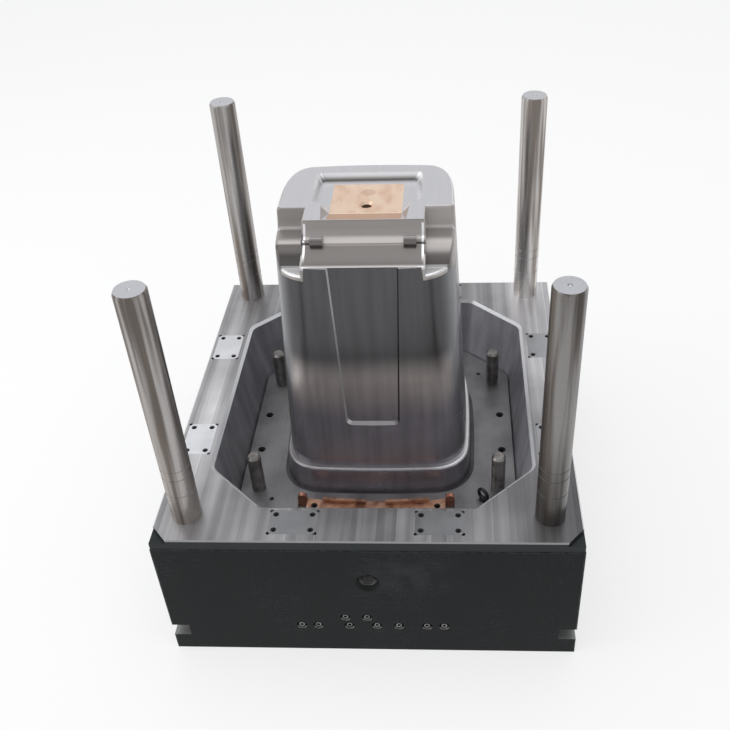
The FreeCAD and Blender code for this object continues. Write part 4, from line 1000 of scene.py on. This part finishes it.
def makeThread(name, sizes, steps, places, body):
    # A ridge that winds down a bore and runs out at both ends
    build = Build(name + "Turns", sizes)
    given = build.given
    mesh, column, row = build.net(given["Turns"] * steps + 1, 4)
    last = given["Turns"] * steps
    swell = build.fade(build.lower(column, last - column) / steps, 0.0, 0.5)
    inward = build.pick(row, [-given["Root"], given["Crest"], -given["Root"], -given["Root"]])
    along = build.pick(row, [-0.45, 0.0, 0.45, -0.45])
    radius = given["Bore"] - inward * swell
    turn = column / steps
    height = -given["Start"] - (turn + along * swell) * given["Pitch"]
    build.close(build.standing(build.bend(mesh, radius, turn * (2 * math.pi), height)), "boreSteel")
    build.make(name, places, body)


def makeThreads():
    makeThread("liftingHoleThreads", liftingThread, 48, threadPlaces["lifting"], "mould_base")
    places = [((x, y, stripperTopZ), (0, 0, 1)) for x, y in threadPlaces["tapped"]]
    makeThread("tappedHoleThreads", tappedThread, 18, places, "stripper")


springSizes = {
    "Pitch": 0.003,
    "Thickness": 0.0012,
    "Inner Radius": 0.0063,
    "Outer Radius": 0.0115,
}
springStack = {
    "count": 8,
    "topZ": 0.905,
    "travel": 0.006,
    "spare": 0.0002,
}


def makeValveSprings():
    # Disc springs in pairs, open side to open side, which flatten as the valve opens
    build = Build("discSpring", springSizes)
    given = build.given
    pitch = given["Pitch"]
    thick = given["Thickness"]
    inner = given["Inner Radius"]
    outer = given["Outer Radius"]
    half = pitch / 2
    start = (half - thick, inner)
    stations = [start, (-half, outer), (thick - half, outer), (half, inner), start]
    build.close(build.standing(build.turned(48, stations)), "boreSteel")
    height = springStack["count"] * springSizes["Pitch"]
    places = []
    for i in range(springStack["count"]):
        z = springStack["topZ"] - height + (i + 0.5) * springSizes["Pitch"]
        places.append(((valveAxis.x, valveAxis.y, z), (0, 0, -1 if i % 2 else 1)))
    piece = build.make("valveSprings", places, "mould_base")
    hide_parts("air_valve_springs")
    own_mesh(piece)


makePillars()
makePlateScrews()
makeThreads()
makeValveSprings()


# Floor, light and camera

studio = {
    "floorSize": 40.0,
    "floorSeen": tint(150, 150, 150),
    "floorBounce": tint(150, 150, 150),
    "floorGlow": tint(214, 214, 214),
    "skyLow": (1.0, 1.0, 1.0, 1),
    "skyHigh": (0.55, 0.56, 0.58, 1),
    "skyStops": (0.50, 0.78),
    "skyLean": 0.15,
    "skyStrength": 0.85,
}


def makeFloor():
    half = studio["floorSize"] / 2
    mesh = bpy.data.meshes.new("floor")
    corners = [(-half, -half), (half, -half), (half, half), (-half, half)]
    mesh.from_pydata([(x, y, -0.0005) for x, y in corners], [], [(0, 1, 2, 3)])
    floor = bpy.data.objects.new("floor", mesh)
    bpy.context.scene.collection.objects.link(floor)
    paint = Paint("floorPaper")
    seen = paint.node("ShaderNodeLightPath", out="Is Camera Ray")
    mirrored = paint.node("ShaderNodeLightPath", out="Is Glossy Ray")
    passed = paint.node("ShaderNodeLightPath", out="Is Transmission Ray")
    direct = paint.higher(paint.higher(seen, mirrored), passed)
    inputs = {
        "Base Color": paint.mix(direct, studio["floorBounce"], studio["floorSeen"]),
        "Emission Color": paint.mix(direct, (0, 0, 0, 1), studio["floorGlow"]),
        "Emission Strength": 1.0,
        "Roughness": 0.9,
    }
    shader = paint.node("ShaderNodeBsdfPrincipled", inputs=inputs)
    paint.node("ShaderNodeOutputMaterial", inputs={"Surface": shader})
    mesh.materials.append(paint.material)


def makeWorld():
    world = bpy.data.worlds.new("studioSky")
    bpy.context.scene.world = world
    world.use_nodes = True
    graph = Graph(world.node_tree)
    towards = graph.split(graph.node("ShaderNodeTexCoord", out="Generated"))
    low, high = studio["skyStops"]
    stops = [(low, studio["skyLow"]), (high, studio["skyHigh"])]
    lean = towards[2] + towards[0] * studio["skyLean"]
    colour = graph.node("ShaderNodeValToRGB", {"stops": stops}, {0: lean})
    inputs = {"Color": colour, "Strength": studio["skyStrength"]}
    background = graph.node("ShaderNodeBackground", inputs=inputs)
    graph.node("ShaderNodeOutputWorld", inputs={"Surface": background})


lampLooks = {
    "overhead": {"place": (0.0, 0.2, 5.2), "target": (0.0, 0.0, 0.4), "size": 5.0, "power": 95.0},
    "leftFill": {"place": (-4.0, -1.0, 3.0), "target": (0.0, 0.0, 0.5), "size": 3.0, "power": 45.0},
}


def makeLamps():
    for name, look in lampLooks.items():
        data = bpy.data.lights.new(name, "AREA")
        data.shape = "SQUARE"
        data.size = look["size"]
        data.energy = look["power"]
        lamp = bpy.data.objects.new(name, data)
        bpy.context.scene.collection.objects.link(lamp)
        lamp.location = look["place"]
        aim = Vector(look["target"]) - lamp.location
        lamp.rotation_euler = aim.to_track_quat("-Z", "Y").to_euler()


# Where the photograph was taken from, worked out from the block's and the pillars' outlines
view = {
    "place": (0.205, -1.9275, 2.0102),
    "pitch": 37.37,
    "yaw": 4.192,
    "roll": -2.84,
    "focalPixels": 926.56,
    "centreX": 400.0,
    "centreY": 351.64,
    "imageSize": 730,
    "sensor": 36.0,
}


def makeCamera():
    data = bpy.data.cameras.new("camera")
    camera = bpy.data.objects.new("camera", data)
    bpy.context.scene.collection.objects.link(camera)
    size = view["imageSize"]
    data.sensor_width = view["sensor"]
    data.lens = view["focalPixels"] * view["sensor"] / size
    data.shift_x = (size / 2 - view["centreX"]) / size
    data.shift_y = (view["centreY"] - size / 2) / size
    data.clip_end = 100.0
    turn = Matrix.Rotation(math.radians(view["yaw"]), 4, "Z")
    turn = turn @ Matrix.Rotation(math.radians(90 - view["pitch"]), 4, "X")
    turn = turn @ Matrix.Rotation(math.radians(view["roll"]), 4, "Z")
    camera.matrix_world = Matrix.Translation(view["place"]) @ turn
    bpy.context.scene.camera = camera


makeFloor()
makeWorld()
makeLamps()
makeCamera()
bpy.context.scene.view_settings.view_transform = "Standard"
print("floor, light and camera placed")
